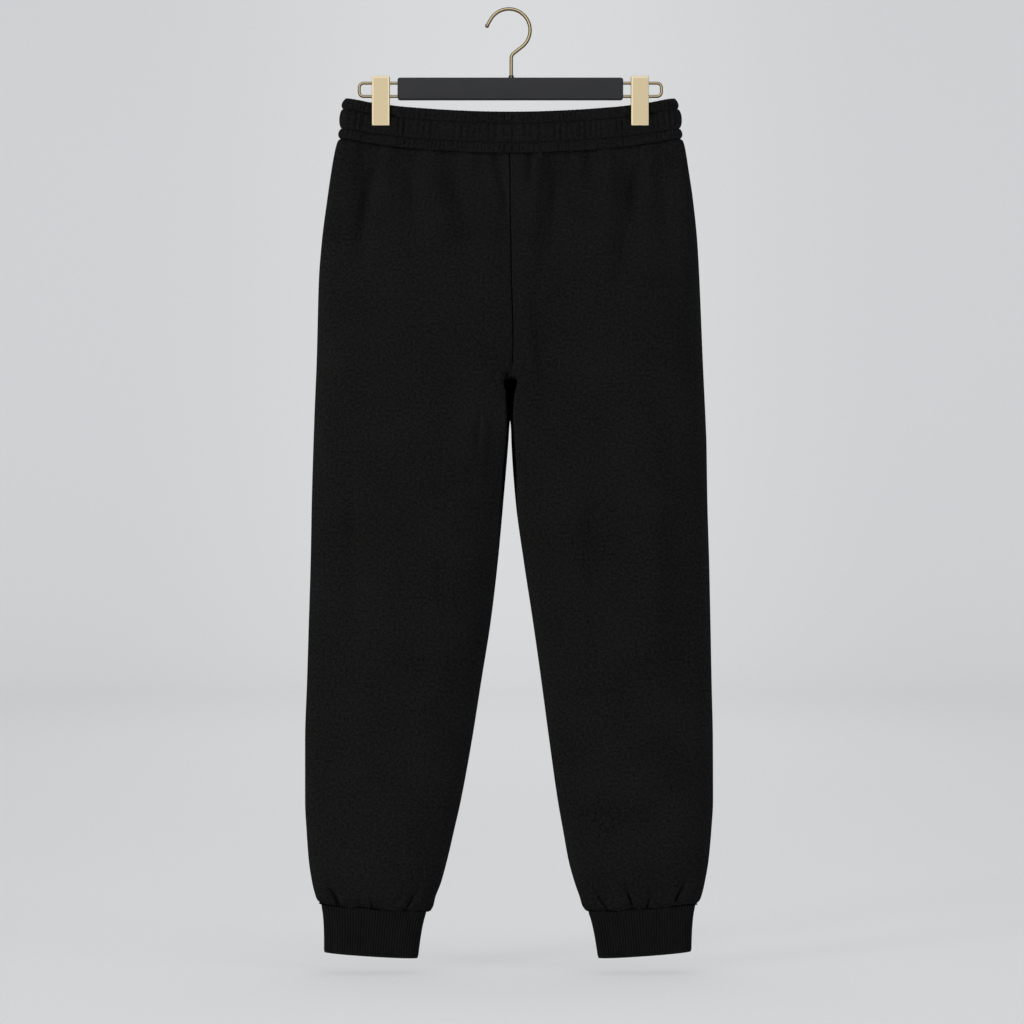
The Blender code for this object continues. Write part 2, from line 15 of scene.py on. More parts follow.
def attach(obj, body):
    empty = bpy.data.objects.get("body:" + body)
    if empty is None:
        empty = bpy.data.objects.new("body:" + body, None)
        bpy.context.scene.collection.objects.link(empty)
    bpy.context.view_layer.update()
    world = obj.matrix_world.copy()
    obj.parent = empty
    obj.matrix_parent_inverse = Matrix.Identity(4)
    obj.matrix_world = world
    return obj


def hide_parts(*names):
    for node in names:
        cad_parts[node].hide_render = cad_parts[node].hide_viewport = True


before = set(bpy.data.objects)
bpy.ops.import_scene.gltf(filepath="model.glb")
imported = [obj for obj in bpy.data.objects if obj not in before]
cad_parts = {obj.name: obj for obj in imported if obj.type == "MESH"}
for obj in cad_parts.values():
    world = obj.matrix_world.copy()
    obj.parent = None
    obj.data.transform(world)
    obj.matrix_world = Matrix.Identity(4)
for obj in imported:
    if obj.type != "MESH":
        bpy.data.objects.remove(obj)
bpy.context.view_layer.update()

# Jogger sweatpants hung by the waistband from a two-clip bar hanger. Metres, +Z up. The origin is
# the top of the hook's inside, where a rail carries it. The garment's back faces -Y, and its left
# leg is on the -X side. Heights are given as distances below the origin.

LOG = logging.getLogger("jogger")
MM = 0.001
BODY = "root"
CLOTH_UV = "cloth"
# Half a stitch's length as a share of its step, so that neighbours just overlap.
STITCH_HALF = 0.56
WELD = 0.0001 * MM


class Titled(Enum):
    """An option with the name that the frame's nodes give it."""

    @property
    def title(self) -> str:
        """The option's name in small letters."""
        return self.name.lower()


class Side(Titled):
    """The wearer's side that a piece is on, with its sign along X."""

    LEFT = -1
    RIGHT = 1


class Face(Titled):
    """The face of the garment that a panel is on, with its sign along Y."""

    BACK = -1
    FRONT = 1


class Section(NamedTuple):
    """One section of the trousers, mm: heights, edges from the centre line, and half depths."""

    down: float
    drop: float
    left_side: float
    left_inner: float
    right_inner: float
    right_side: float
    back: float
    front: float


class RingPoint(NamedTuple):
    """A point of the flattened waist ring, mm: how far out, and half the depth there."""

    out: float
    at_clip: float
    at_seam: float


class BandRow(NamedTuple):
    """A sewn line or edge of the waistband, mm: heights, half width, looseness and pinch."""

    side: float
    centre: float
    half: float
    loose: float
    pinch: float


class Channel(NamedTuple):
    """What lies between two rows of the waistband, mm: its crown, gather height and gather count."""

    crown: float
    gather: float
    count: int


class Fold(NamedTuple):
    """A soft trough, mm: its ends, breadth, depth (a ridge's is negative) and deepest share."""

    x_top: float
    top: float
    x_foot: float
    foot: float
    breadth: float
    depth: float
    peak: float


class Ridge(NamedTuple):
    """A seam allowance under the back, mm: its edge and place, its size, and where it fades in and out."""

    side: Side
    at_inseam: bool
    off: float
    height: float
    breadth: float
    fade_in: tuple[float, float]
    fade_out: tuple[float, float]


class CuffEdge(NamedTuple):
    """An end of a cuff, mm: its edges from the centre line, their heights, and half the depth."""

    side: float
    inner: float
    side_down: float
    inner_down: float
    depth: float


TROUSER_SECTIONS = (
    Section(153.2, 19.1, 206.6, 0.0, 0.0, 206.6, 17, 16),
    Section(164.0, 18.5, 210.0, 0.0, 0.0, 210.0, 22, 21),
    Section(190.0, 14.4, 214.8, 0.0, 0.0, 214.2, 30, 28),
    Section(227.0, 8.0, 220.0, 0.0, 0.0, 219.4, 39, 36),
    Section(275.0, 2.0, 226.0, 0.0, 0.0, 224.2, 48, 43),
    Section(323.0, 0.0, 229.6, 0.0, 0.0, 226.8, 54, 47),
    Section(419.0, 0.0, 232.2, 0.0, 0.0, 230.8, 54, 48),
    Section(487.0, 0.0, 235.0, 0.0, 0.0, 234.0, 52, 48),
    Section(496.0, 0.0, 235.3, 1.1, 0.8, 234.4, 51.5, 47.8),
    Section(515.0, 0.0, 236.0, 2.3, 1.3, 235.2, 50.5, 47.5),
    Section(587.0, 0.0, 238.2, 8.3, 6.3, 236.4, 46, 45),
    Section(659.0, 0.0, 239.6, 14.9, 16.0, 238.6, 41.5, 41.5),
    Section(731.0, 0.0, 241.8, 23.4, 27.0, 240.2, 37, 38),
    Section(803.0, 0.0, 244.0, 34.8, 37.2, 241.6, 35, 36),
    Section(875.0, 0.0, 246.4, 46.2, 46.8, 243.2, 33, 34),
    Section(947.0, 0.0, 246.4, 59.4, 57.0, 243.4, 32, 32),
    Section(983.0, 0.0, 244.6, 67.6, 63.4, 241.3, 31, 31),
    Section(1019.0, 1.0, 241.9, 76.2, 70.2, 237.9, 30, 30),
    Section(1043.0, 3.5, 238.3, 83.6, 77.6, 233.8, 28, 28),
    Section(1057.0, 6.0, 235.1, 90.0, 83.4, 230.7, 25, 25),
    Section(1065.5, 7.8, 232.2, 92.6, 86.4, 227.6, 21, 21),
    Section(1070.0, 8.8, 228.8, 96.0, 90.0, 224.0, 17, 17),
)

WAIST_RING = (
    RingPoint(0, 11.0, 14.0),
    RingPoint(45, 10.4, 13.4),
    RingPoint(90, 8.4, 11.4),
    RingPoint(118, 6.2, 8.8),
    RingPoint(138, 3.5, 5.8),
    RingPoint(173, 3.5, 5.8),
    RingPoint(184, 6.6, 8.4),
    RingPoint(195, 8.4, 10.0),
    RingPoint(203, 6.4, 7.4),
    RingPoint(206.6, 0, 0),
)

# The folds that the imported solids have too.
BACK_FOLDS = (
    Fold(-169, 160, -182, 340, 12, 6.0, 0.20),
    Fold(-119, 166, -101, 372, 12, 3.6, 0.20),
    Fold(-73, 170, -39, 330, 12, 3.2, 0.25),
    Fold(-8, 185, -2, 320, 9, 2.2, 0.30),
    Fold(56, 170, 38, 385, 12, 4.6, 0.20),
    Fold(102, 168, 96, 230, 10, 2.0, 0.35),
    Fold(152, 160, 133, 390, 12, 4.6, 0.20),
    Fold(188, 158, 202, 250, 11, 3.6, 0.25),
    Fold(-36, 185, -12, 370, 11, -2.6, 0.50),
    Fold(6, 290, 32, 470, 10, -2.6, 0.50),
    Fold(-56, 360, -80, 640, 24, 6.0, 0.45),
    Fold(30, 372, 52, 600, 20, 5.0, 0.40),
    Fold(128, 380, 126, 620, 20, 2.4, 0.50),
    Fold(-205, 700, -196, 900, 22, 1.8, 0.50),
    Fold(-222, 1030, -206, 1072, 11, 2.4, 0.70),
    Fold(-113, 1030, -126, 1076, 12, 2.4, 0.70),
    Fold(99, 1030, 116, 1076, 12, 2.4, 0.70),
    Fold(134, 1020, 146, 1072, 11, 2.6, 0.70),
    Fold(214, 1020, 196, 1070, 12, 2.8, 0.70),
)
FRONT_FOLDS = (
    Fold(-176, 160, -190, 300, 12, 6.0, 0.22),
    Fold(-135, 166, -122, 345, 12, 3.8, 0.20),
    Fold(-86, 170, -60, 300, 12, 3.0, 0.25),
    Fold(-30, 172, -16, 350, 11, 2.6, 0.25),
    Fold(40, 172, 22, 330, 12, 3.4, 0.25),
    Fold(92, 168, 80, 372, 12, 4.0, 0.20),
    Fold(150, 160, 134, 350, 12, 4.6, 0.20),
    Fold(178, 158, 192, 280, 11, 4.4, 0.25),
    Fold(-48, 380, -98, 520, 18, 4.2, 0.35),
    Fold(52, 384, 104, 540, 18, 4.4, 0.35),
    Fold(-132, 640, -118, 860, 26, 2.6, 0.50),
    Fold(128, 600, 116, 840, 26, 2.8, 0.50),
    Fold(-216, 1026, -200, 1072, 12, 2.6, 0.70),
    Fold(-140, 1022, -150, 1074, 12, 2.6, 0.70),
    Fold(122, 1026, 132, 1074, 12, 2.6, 0.70),
    Fold(206, 1024, 190, 1070, 12, 2.6, 0.70),
)

BACK_RIDGES = (
    Ridge(Side.LEFT, True, 3.2, 0.2, 1.6, (0, 1), (405, 430)),
    Ridge(Side.LEFT, True, 9.0, 0.5, 1.4, (760, 820), (1020, 1050)),
    Ridge(Side.RIGHT, True, 3.0, 0.45, 1.3, (0, 1), (405, 430)),
    Ridge(Side.RIGHT, False, 9.0, 0.5, 1.4, (700, 760), (1200, 1201)),
)

# Sharper creases: where the ankle is drawn into the cuff, the ridges that run into the crotch, and the
# folds that fall from the waist seam.
BACK_CREASES = (
    Fold(-221, 1032, -203, 1076, 3.4, 3.8, 0.78),
    Fold(-212, 1030, -194, 1074, 4.0, -1.4, 0.78),
    Fold(-182, 1046, -178, 1078, 4.0, 2.0, 0.80),
    Fold(-167, 1048, -164, 1079, 2.6, 3.0, 0.80),
    Fold(-159, 1052, -159, 1079, 2.4, 2.2, 0.80),
    Fold(-148, 1046, -152, 1077, 3.0, 1.2, 0.75),
    Fold(-105, 1040, -126, 1083, 3.2, 4.0, 0.74),
    Fold(-116, 1044, -134, 1080, 3.6, -1.2, 0.70),
    Fold(94, 1038, 118, 1083, 3.2, 3.4, 0.72),
    Fold(105, 1040, 127, 1080, 3.6, -1.2, 0.70),
    Fold(132, 1026, 147, 1080, 3.6, 4.2, 0.78),
    Fold(142, 1032, 154, 1078, 4.0, -1.2, 0.78),
    Fold(172, 1036, 163, 1079, 3.8, 4.2, 0.80),
    Fold(213, 1024, 195, 1076, 3.8, 4.2, 0.76),
    Fold(205, 1028, 187, 1074, 3.6, -1.2, 0.75),
    Fold(-7.0, 430, -6.2, 460, 1.6, 5.0, 0.60),
    Fold(5.2, 437, 4.6, 460, 1.5, 4.0, 0.50),
    Fold(2, 396, -34, 486, 2.0, -2.2, 0.60),
    Fold(5.5, 396, -30.5, 488, 3.6, -2.8, 0.60),
    Fold(10, 404, -24, 490, 8.0, -2.2, 0.60),
    Fold(-31, 460, -38, 600, 2.2, -2.2, 0.30),
    Fold(-27.5, 460, -34, 600, 4.2, -3.0, 0.30),
    Fold(100, 500, 108, 900, 16.0, 8.0, 0.40),
    Fold(168, 480, 172, 920, 20.0, -7.0, 0.40),
    Fold(-190, 480, -188, 860, 14.0, 5.0, 0.40),
    Fold(-150, 500, -150, 900, 20.0, -3.0, 0.40),
    Fold(36, 360, 50, 500, 14.0, 3.0, 0.45),
    Fold(-22, 440, -50, 560, 8.0, 1.4, 0.45),
    Fold(14, 340, 32, 480, 7.0, -1.6, 0.60),
    Fold(-195, 124, -194, 200, 5.5, 1.2, 0.50),
    Fold(-164, 112, -190, 430, 12.5, 5.4, 0.15),
    Fold(-140, 130, -146, 214, 6.5, 0.8, 0.50),
    Fold(-124, 114, -112, 450, 13.5, 5.6, 0.15),
    Fold(-88, 134, -92, 226, 7.0, 1.4, 0.50),
    Fold(-76, 118, -30, 450, 12.5, 5.4, 0.15),
    Fold(-38, 132, -36, 242, 6.5, 3.2, 0.45),
    Fold(-21, 126, 2, 300, 6.5, 4.6, 0.28),
    Fold(26, 128, 22, 250, 6.0, 4.2, 0.38),
    Fold(56, 116, 30, 450, 13.0, 5.8, 0.15),
    Fold(73, 130, 66, 230, 6.0, 2.6, 0.42),
    Fold(96, 126, 94, 240, 7.0, 4.8, 0.38),
    Fold(125, 132, 125, 216, 6.5, 1.4, 0.50),
    Fold(148, 114, 124, 450, 13.0, 5.6, 0.15),
    Fold(181, 110, 194, 400, 10.0, 5.2, 0.18),
    Fold(-147, 124, -152, 320, 9.0, -2.4, 0.28),
    Fold(-98, 124, -82, 320, 9.0, -2.4, 0.28),
    Fold(38, 126, 20, 330, 7.5, -2.6, 0.32),
    Fold(120, 126, 110, 340, 10.0, -2.6, 0.28),
    Fold(163, 122, 162, 380, 8.0, -3.0, 0.28),
)
FRONT_CREASES = (
    Fold(-219, 1040, -203, 1073, 3.2, 1.8, 0.80),
    Fold(-176, 1052, -172, 1075, 2.0, 1.1, 0.80),
    Fold(-144, 1044, -151, 1076, 3.0, 1.7, 0.80),
    Fold(-112, 1052, -120, 1078, 2.6, 1.2, 0.80),
    Fold(102, 1050, 112, 1078, 2.8, 1.4, 0.80),
    Fold(124, 1044, 132, 1076, 3.0, 1.8, 0.80),
    Fold(160, 1052, 158, 1076, 2.2, 1.2, 0.80),
    Fold(205, 1034, 191, 1072, 3.2, 1.8, 0.80),
    Fold(-190, 124, -192, 200, 5.5, 2.4, 0.50),
    Fold(-172, 116, -182, 320, 7.0, 5.2, 0.30),
    Fold(-133, 120, -124, 340, 7.0, 5.0, 0.30),
    Fold(-108, 132, -106, 214, 6.0, 2.2, 0.50),
    Fold(-84, 124, -68, 310, 6.5, 4.6, 0.30),
    Fold(-56, 130, -54, 220, 5.5, 2.6, 0.50),
    Fold(-28, 126, -18, 320, 6.0, 4.2, 0.34),
    Fold(-7, 134, -7, 214, 5.0, 2.2, 0.50),
    Fold(16, 134, 14, 210, 5.0, 2.2, 0.50),
    Fold(42, 122, 30, 320, 6.5, 4.8, 0.30),
    Fold(66, 130, 62, 220, 5.5, 2.4, 0.50),
    Fold(94, 122, 86, 340, 7.0, 5.2, 0.30),
    Fold(121, 130, 120, 210, 6.0, 2.2, 0.50),
    Fold(152, 120, 142, 330, 7.0, 5.2, 0.30),
    Fold(180, 116, 190, 300, 7.0, 4.8, 0.30),
    Fold(-152, 124, -154, 310, 9.0, -2.2, 0.32),
    Fold(-98, 126, -92, 320, 9.0, -2.2, 0.32),
    Fold(68, 126, 60, 320, 9.0, -2.2, 0.32),
    Fold(124, 126, 114, 320, 9.0, -2.2, 0.32),
)

# Heights in mm with what holds there: the share of the depth left in the middle of the valley at the
# crotch, the valley's breadth in mm, and how far the back's centre seam wanders to the right in mm.
VALLEY_SHARES = ((405, 1.0), (430, 0.98), (438, 0.9), (443, 0.5), (447, 0.24), (454, 0.1), (487, 0.0))
VALLEY_BREADTHS = (
    (405, 9.0), (430, 8.0), (443, 7.2), (466, 5.0),
    (478, 4.2), (488, 3.8), (560, 9.0), (640, 20.0),
)
SEAM_WANDER = (
    (153, -0.7), (310, 1.0), (395, 3.2), (425, 2.4),
    (440, 1.0), (450, -0.3), (480, -0.8), (505, 0.0),
)

BAND_ROWS = (
    BandRow(106.2, 123.4, 198.8, 0.0, 0.7),
    BandRow(117.6, 135.8, 202.4, 0.0, 2.6),
    BandRow(140.8, 158.8, 204.2, 0.3, 2.6),
    BandRow(152.9, 172.0, 206.0, 1.0, 2.4),
)
BAND_CHANNELS = (
    Channel(0.9, 1.7, 168),
    Channel(1.6, 2.7, 104),
    Channel(1.0, 1.8, 158),
)

LEFT_CUFF = (CuffEdge(225.2, 101.6, 1067.6, 1076.0, 14.5), CuffEdge(223.6, 110.6, 1127.9, 1135.1, 13.5))
RIGHT_CUFF = (CuffEdge(220.2, 94.4, 1067.6, 1076.0, 14.5), CuffEdge(217.0, 105.0, 1127.0, 1135.1, 13.5))


def linear(code: str) -> tuple[float, ...]:
    """An sRGB hex colour as linear red, green, blue and alpha."""
    shares = [int(code[k : k + 2], 16) / 255 for k in (0, 2, 4)]
    return (*(c / 12.92 if c <= 0.04045 else ((c + 0.055) / 1.055) ** 2.4 for c in shares), 1.0)


def add_node(tree: NodeTree, kind: str, settings: dict, links: dict) -> Node:
    """Adds a node to a tree.

    Args:
        tree: the node tree.
        kind: the node's type, or the name of a node that is there already.
        settings: values of its properties and inputs, by property name, input name or input number.
        links: the sockets that feed its inputs, by input name or number.

    Returns:
        The node.
    """
    node = tree.nodes.get(kind) or tree.nodes.new(kind)
    for key, value in settings.items():
        if isinstance(key, str) and hasattr(node, key):
            setattr(node, key, value)
        else:
            node.inputs[key].default_value = value
    for key, socket in links.items():
        tree.links.new(socket, node.inputs[key])
    return node


class Recipe:
    """A material's nodes. Each method adds one and returns its output."""

    def __init__(self, tree: NodeTree) -> None:
        """Takes up a new material's tree."""
        self.tree = tree

    def object_place(self) -> NodeSocket:
        """The Object coordinates."""
        return add_node(self.tree, "ShaderNodeTexCoord", {}, {}).outputs["Object"]

    def noise(self, place: NodeSocket, size: float, detail: float, rough: float = 0.5) -> NodeSocket:
        """Noise with patches of about one size."""
        settings = {"Scale": 1 / size, "Detail": detail, "Roughness": rough}
        return add_node(self.tree, "ShaderNodeTexNoise", settings, {"Vector": place}).outputs["Fac"]

    def mix(self, share: float, value: NodeSocket, other: NodeSocket) -> NodeSocket:
        """A value with a share of another in it."""
        links = {2: value, 3: other}
        return add_node(self.tree, "ShaderNodeMix", {"data_type": "FLOAT", 0: share}, links).outputs[0]

    def tint(self, share: NodeSocket, dark: str, light: str) -> NodeSocket:
        """A colour between two."""
        settings = {"data_type": "RGBA", 6: linear(dark), 7: linear(light)}
        return add_node(self.tree, "ShaderNodeMix", settings, {0: share}).outputs[2]

    def span(
        self,
        value: NodeSocket,
        source: tuple[float, float],
        target: tuple[float, float] = (0.0, 1.0),
        way: str = "LINEAR",
    ) -> NodeSocket:
        """A value taken from one range to another.

        Args:
            value: the value.
            source: the ends of its range.
            target: the ends of the new range.
            way: how it runs between them.

        Returns:
            The new value.
        """
        ends = dict(zip(("From Min", "From Max", "To Min", "To Max"), source + target))
        settings = {"interpolation_type": way, **ends}
        return add_node(self.tree, "ShaderNodeMapRange", settings, {"Value": value}).outputs["Result"]

    def relief(self, height: NodeSocket, strength: float, depth: float) -> NodeSocket:
        """Normals of a fine relief."""
        settings = {"Strength": strength, "Distance": depth}
        return add_node(self.tree, "ShaderNodeBump", settings, {"Height": height}).outputs["Normal"]

    def surface(self, settings: dict, links: dict) -> None:
        """Sets and feeds the Principled shader."""
        add_node(self.tree, "Principled BSDF", settings, links)


@dataclass(frozen=True)
class Finish:
    """A surface finish with a material of its own."""

    title: str

    def dress(self, nodes: Recipe) -> None:
        """Sets up the material's nodes."""
        raise NotImplementedError

    def material(self) -> Material:
        """The finish's material, made on first use.

        Returns:
            The material.
        """
        found = bpy.data.materials.get(self.title)
        if found:
            return found
        made = bpy.data.materials.new(self.title)
        made.use_nodes = True
        self.dress(Recipe(made.node_tree))
        return made


@dataclass(frozen=True)
class KnitFinish(Finish):
    """Cotton knit: matt, almost black, with a fine nap that catches the light at grazing angles."""

    dark: str
    light: str
    nap_mm: float
    wale_mm: float
    wale_share: float
    cloud_mm: float
    sheen: float
    bump_mm: float
    cloud_share: float = 0.16
    contrast: tuple[float, float] = (0.34, 0.66)

    def dress(self, nodes: Recipe) -> None:
        """Sets up nap, wales, clouding and sheen on the cloth's own UV map, which is in metres.

        Args:
            nodes: the material's nodes.
        """
        place = add_node(nodes.tree, "ShaderNodeUVMap", {"uv_map": CLOTH_UV}, {}).outputs["UV"]
        # The nap's tufts, as long one way as the other.
        nap = nodes.noise(place, self.nap_mm * MM, 4.0, 0.62)
        # Real wales are about 0.8 mm apart, drawn coarser here so that they show. 20 / tau is the
        # wave texture's own scale.
        scale = math.tau / 20 / (self.wale_mm * MM)
        knit = {"Scale": scale, "Distortion": 3.0, "Detail": 2.0, "Detail Scale": 2.5}
        wales = add_node(nodes.tree, "ShaderNodeTexWave", knit, {"Vector": place})
        grain = nodes.mix(self.wale_share, nap, wales.outputs["Fac"])
        tone = nodes.mix(self.cloud_share, grain, nodes.noise(place, self.cloud_mm * MM, 2.0))
        colour = nodes.tint(nodes.span(tone, self.contrast), self.dark, self.light)
        settings = {
            "Roughness": 0.96,
            "Specular IOR Level": 0.01,
            "Sheen Weight": self.sheen,
            "Sheen Roughness": 0.35,
            "Sheen Tint": linear("8A8A8C"),
        }
        nodes.surface(settings, {"Base Color": colour, "Normal": nodes.relief(grain, 0.6, self.bump_mm * MM)})


@dataclass(frozen=True)
class MetalFinish(Finish):
    """Metal, brushed one way: its highlights spread across the strokes."""

    bright: str
    dull: str
    smooth: float
    rough: float
    stroke_mm: tuple[float, float, float]

    def dress(self, nodes: Recipe) -> None:
        """Sets up brush strokes of a real length and width on Object coordinates.

        Args:
            nodes: the material's nodes.
        """
        scale = {"Scale": tuple(1 / (size * MM) for size in self.stroke_mm)}
        turned = add_node(nodes.tree, "ShaderNodeMapping", scale, {"Vector": nodes.object_place()})
        strokes = nodes.noise(turned.outputs[0], 1.0, 3.0, 0.6)
        links = {
            "Base Color": nodes.tint(strokes, self.dull, self.bright),
            "Roughness": nodes.span(strokes, (0.3, 0.7), (self.smooth, self.rough)),
            "Normal": nodes.relief(strokes, 0.25, 0.03 * MM),
        }
        nodes.surface({"Metallic": 1.0}, links)


@dataclass(frozen=True)
class MouldedFinish(Finish):
    """Moulded nylon with a fine spark-eroded grain, satin and slightly uneven in tone."""

    dark: str
    light: str
    grain_mm: float
    wash_mm: float = 40

    def dress(self, nodes: Recipe) -> None:
        """Sets up the moulded grain on Object coordinates.

        Args:
            nodes: the material's nodes.
        """
        place = nodes.object_place()
        grain = nodes.noise(place, self.grain_mm * MM, 2.0)
        tone = nodes.mix(0.5, grain, nodes.noise(place, self.wash_mm * MM, 1.0))
        links = {
            "Base Color": nodes.tint(tone, self.dark, self.light),
            "Normal": nodes.relief(grain, 0.3, 0.05 * MM),
        }
        nodes.surface({"Roughness": 0.55, "Specular IOR Level": 0.2}, links)


@dataclass(frozen=True)
class CoveFinish(Finish):
    """A pale cove that glows: its glow is painted light standing in for the lamps' light on it, so that
    shadows on it stay faint.
    """

    body: str
    rim: str
    core: str
    near_strength: float
    strength: float
    core_half: float = 1.5
    near: tuple[float, float] = (0.2, 3.6)
    foot: tuple[float, float, float] = (0, 0, -1.154)

    def dress(self, nodes: Recipe) -> None:
        """Sets up the glow, which is painted light: painted brighter behind the middle, and dimmer near the
        garment's foot to even out the lamps' pool of light there.

        Args:
            nodes: the material's nodes.
        """
        place = nodes.object_place()
        apart = add_node(nodes.tree, "ShaderNodeSeparateXYZ", {}, {"Vector": place}).outputs["X"]
        off = add_node(nodes.tree, "ShaderNodeMath", {"operation": "ABSOLUTE"}, {0: apart}).outputs[0]
        core = nodes.span(off, (0.0, self.core_half), (1.0, 0.0), "SMOOTHSTEP")
        measure = {"operation": "DISTANCE", 1: self.foot}
        away = add_node(nodes.tree, "ShaderNodeVectorMath", measure, {0: place}).outputs["Value"]
        power = nodes.span(away, self.near, (self.near_strength, self.strength), "SMOOTHSTEP")
        # The emission is painted light: the cove glows in place of being lit by the lamps.
        links = {"Emission Color": nodes.tint(core, self.rim, self.core), "Emission Strength": power}
        settings = {"Base Color": linear(self.body), "Roughness": 0.9, "Specular IOR Level": 0.0}
        nodes.surface(settings, links)


# Brushed-back cotton fleece: deep black with a soft nap.
FLEECE = KnitFinish("black cotton fleece", "101010", "212121", 3.2, 1.6, 0.06, 75, 0.10, 0.3)
# Cotton rib with elastane: a little darker, for its furrows hold shade.
RIB = KnitFinish("black cotton rib", "0E0E0E", "202020", 1.8, 1.4, 0.12, 24, 0.12, 0.35)
# Polyester sewing thread, near-black and with no sheen: drawn darker than the cloth, so that it is partly
# painted shade of the grooves and seams where it lies.
THREAD = KnitFinish("near-black thread, partly painted shade", "060606", "0C0C0C", 0.8, 0.5, 0.5, 6, 0.0, 0.1)
# Brass plate, brushed upright and lacquered: pale gold with soft upright streaks.
CLIP_BRASS = MetalFinish("brushed clip brass", "E8D8B6", "D0BC92", 0.28, 0.40, (0.7, 0.7, 18.0))
# The plate's bevelled border: the same brass, a little smoother for its polish and painted paler, which is a
# painted highlight where the bevels catch the light.
EDGE_BRASS = MetalFinish("clip border brass, painted bright", "FBEBC8", "EEDCB4", 0.24, 0.34, (0.7, 0.7, 18.0))
# Drawn brass wire: duller, with warm dark edges.
WIRE_BRASS = MetalFinish("drawn brass wire", "DCCCA4", "C8B48C", 0.16, 0.24, (0.8, 0.8, 0.8))
# Blackened steel: a dark ring with a small bright glint.
BLACK_STEEL = MetalFinish("blackened steel", "9A8C70", "6E6350", 0.12, 0.20, (0.5, 0.5, 0.5))
# Glass-filled nylon: charcoal and satin.
NYLON = MouldedFinish("charcoal moulded nylon", "303132", "3B3B3E", 0.7)
# The cove's glow is painted light in place of the lamps' light on the floor and wall.
COVE = CoveFinish("glowing white cove", "A6A7A9", "CDCED0", "D8D9DA", 0.68, 0.84)


def smooth_line(knots: np.ndarray, values: np.ndarray, at: np.ndarray) -> np.ndarray:
    """Values of a smooth curve through some knots that never overshoots them.

    Args:
        knots: places of the knots, rising.
        values: the curve's values there.
        at: the places to read.

    Returns:
        The values at those places.
    """
    knots, values = np.asarray(knots, float), np.asarray(values, float)
    step = np.diff(knots)
    rise = np.diff(values) / step
    before, after = rise[:-1], rise[1:]
    level = before * after <= 0
    mean = 2 * before * after / np.where(level, 1, before + after)
    slope = np.concatenate([rise[:1], np.where(level, 0, mean), rise[-1:]])
    at = np.clip(np.asarray(at, float), knots[0], knots[-1])
    cell = np.clip(np.searchsorted(knots, at) - 1, 0, len(step) - 1)
    share = (at - knots[cell]) / step[cell]
    low, high = values[cell], values[cell + 1]
    bend_low, bend_high = slope[cell] * step[cell], slope[cell + 1] * step[cell]
    back = 1 - share
    return (
        low * back**2 * (1 + 2 * share)
        + high * share**2 * (3 - 2 * share)
        + bend_low * share * back**2
        - bend_high * share**2 * back
    )


def table_value(rows: tuple[tuple[float, float], ...], down: float) -> float:
    """A smooth value between rows of a height in mm and a value."""
    heights, values = zip(*rows)
    return float(smooth_line(np.array(heights) * MM, values, down))


def ease(low: float, high: float, value: np.ndarray) -> np.ndarray:
    """A smooth step, 0 up to its low end and 1 from its high end on."""
    share = np.clip((value - low) / (high - low), 0, 1)
    return share * share * (3 - 2 * share)


def bell(offset: np.ndarray, breadth: float) -> np.ndarray:
    """A soft bump, 1 at no offset and fading out over a breadth."""
    return np.exp(-((offset / breadth) ** 2))


def run_length(curve: np.ndarray) -> np.ndarray:
    """How far along a curve each of its points is."""
    return np.concatenate([[0], np.cumsum(np.linalg.norm(np.diff(curve, axis=0), axis=1))])


def spaced(curve: np.ndarray, shares: np.ndarray) -> np.ndarray:
    """A curve's points at some shares of its length."""
    length = run_length(curve)
    return np.column_stack([np.interp(shares * length[-1], length, axis) for axis in curve.T])


def graded(places: tuple[float, ...], steps: tuple[float, ...]) -> np.ndarray:
    """Places along a line whose spacing changes smoothly.

    Args:
        places: where the spacings are given, rising.
        steps: the spacings there.

    Returns:
        The places, from the first to the last.
    """
    fine = np.linspace(places[0], places[-1], 4000)
    count = run_length(np.cumsum(1 / np.interp(fine, places, steps))[:, None])
    count *= fine[1] - fine[0]
    return np.interp(np.linspace(0, count[-1], round(count[-1]) + 1), count, fine)


def outward(curve: np.ndarray, end_normal: tuple[float, float]) -> np.ndarray:
    """Unit normals of a quarter or half section, which leave its first end along +X.

    Args:
        curve: the section's points.
        end_normal: the normal at its other end.

    Returns:
        A normal for each point.
    """
    along = np.gradient(curve, axis=0)
    normal = np.column_stack([along[:, 1], -along[:, 0]])
    normal /= np.maximum(np.linalg.norm(normal, axis=1), 1e-12)[:, None]
    normal[0] = (1, 0)
    normal[-1] = end_normal
    return normal


def whole_ring(quarter: np.ndarray, count: int) -> np.ndarray:
    """A ring from its quarter, starting and ending at the centre of the back.

    Args:
        quarter: the front quarter's points, from the side to the centre.
        count: how many equal steps there are round the ring.

    Returns:
        The ring's points.
    """
    half = np.concatenate([quarter[::-1] * (1, -1), quarter[1:]])
    whole = np.concatenate([half, (half[::-1] * (-1, 1))[1:]])
    return spaced(whole, np.linspace(0, 1, count + 1))


def ring_normals(ring: np.ndarray) -> np.ndarray:
    """Unit normals of a ring whose last point is its first again.

    Args:
        ring: the ring's points.

    Returns:
        A normal for each point.
    """
    ahead = np.gradient(ring, axis=0)
    ahead[[0, -1]] = ring[1] - ring[-2]
    away = np.column_stack([ahead[:, 1], -ahead[:, 0]])
    return away / np.linalg.norm(away, axis=1)[:, None]


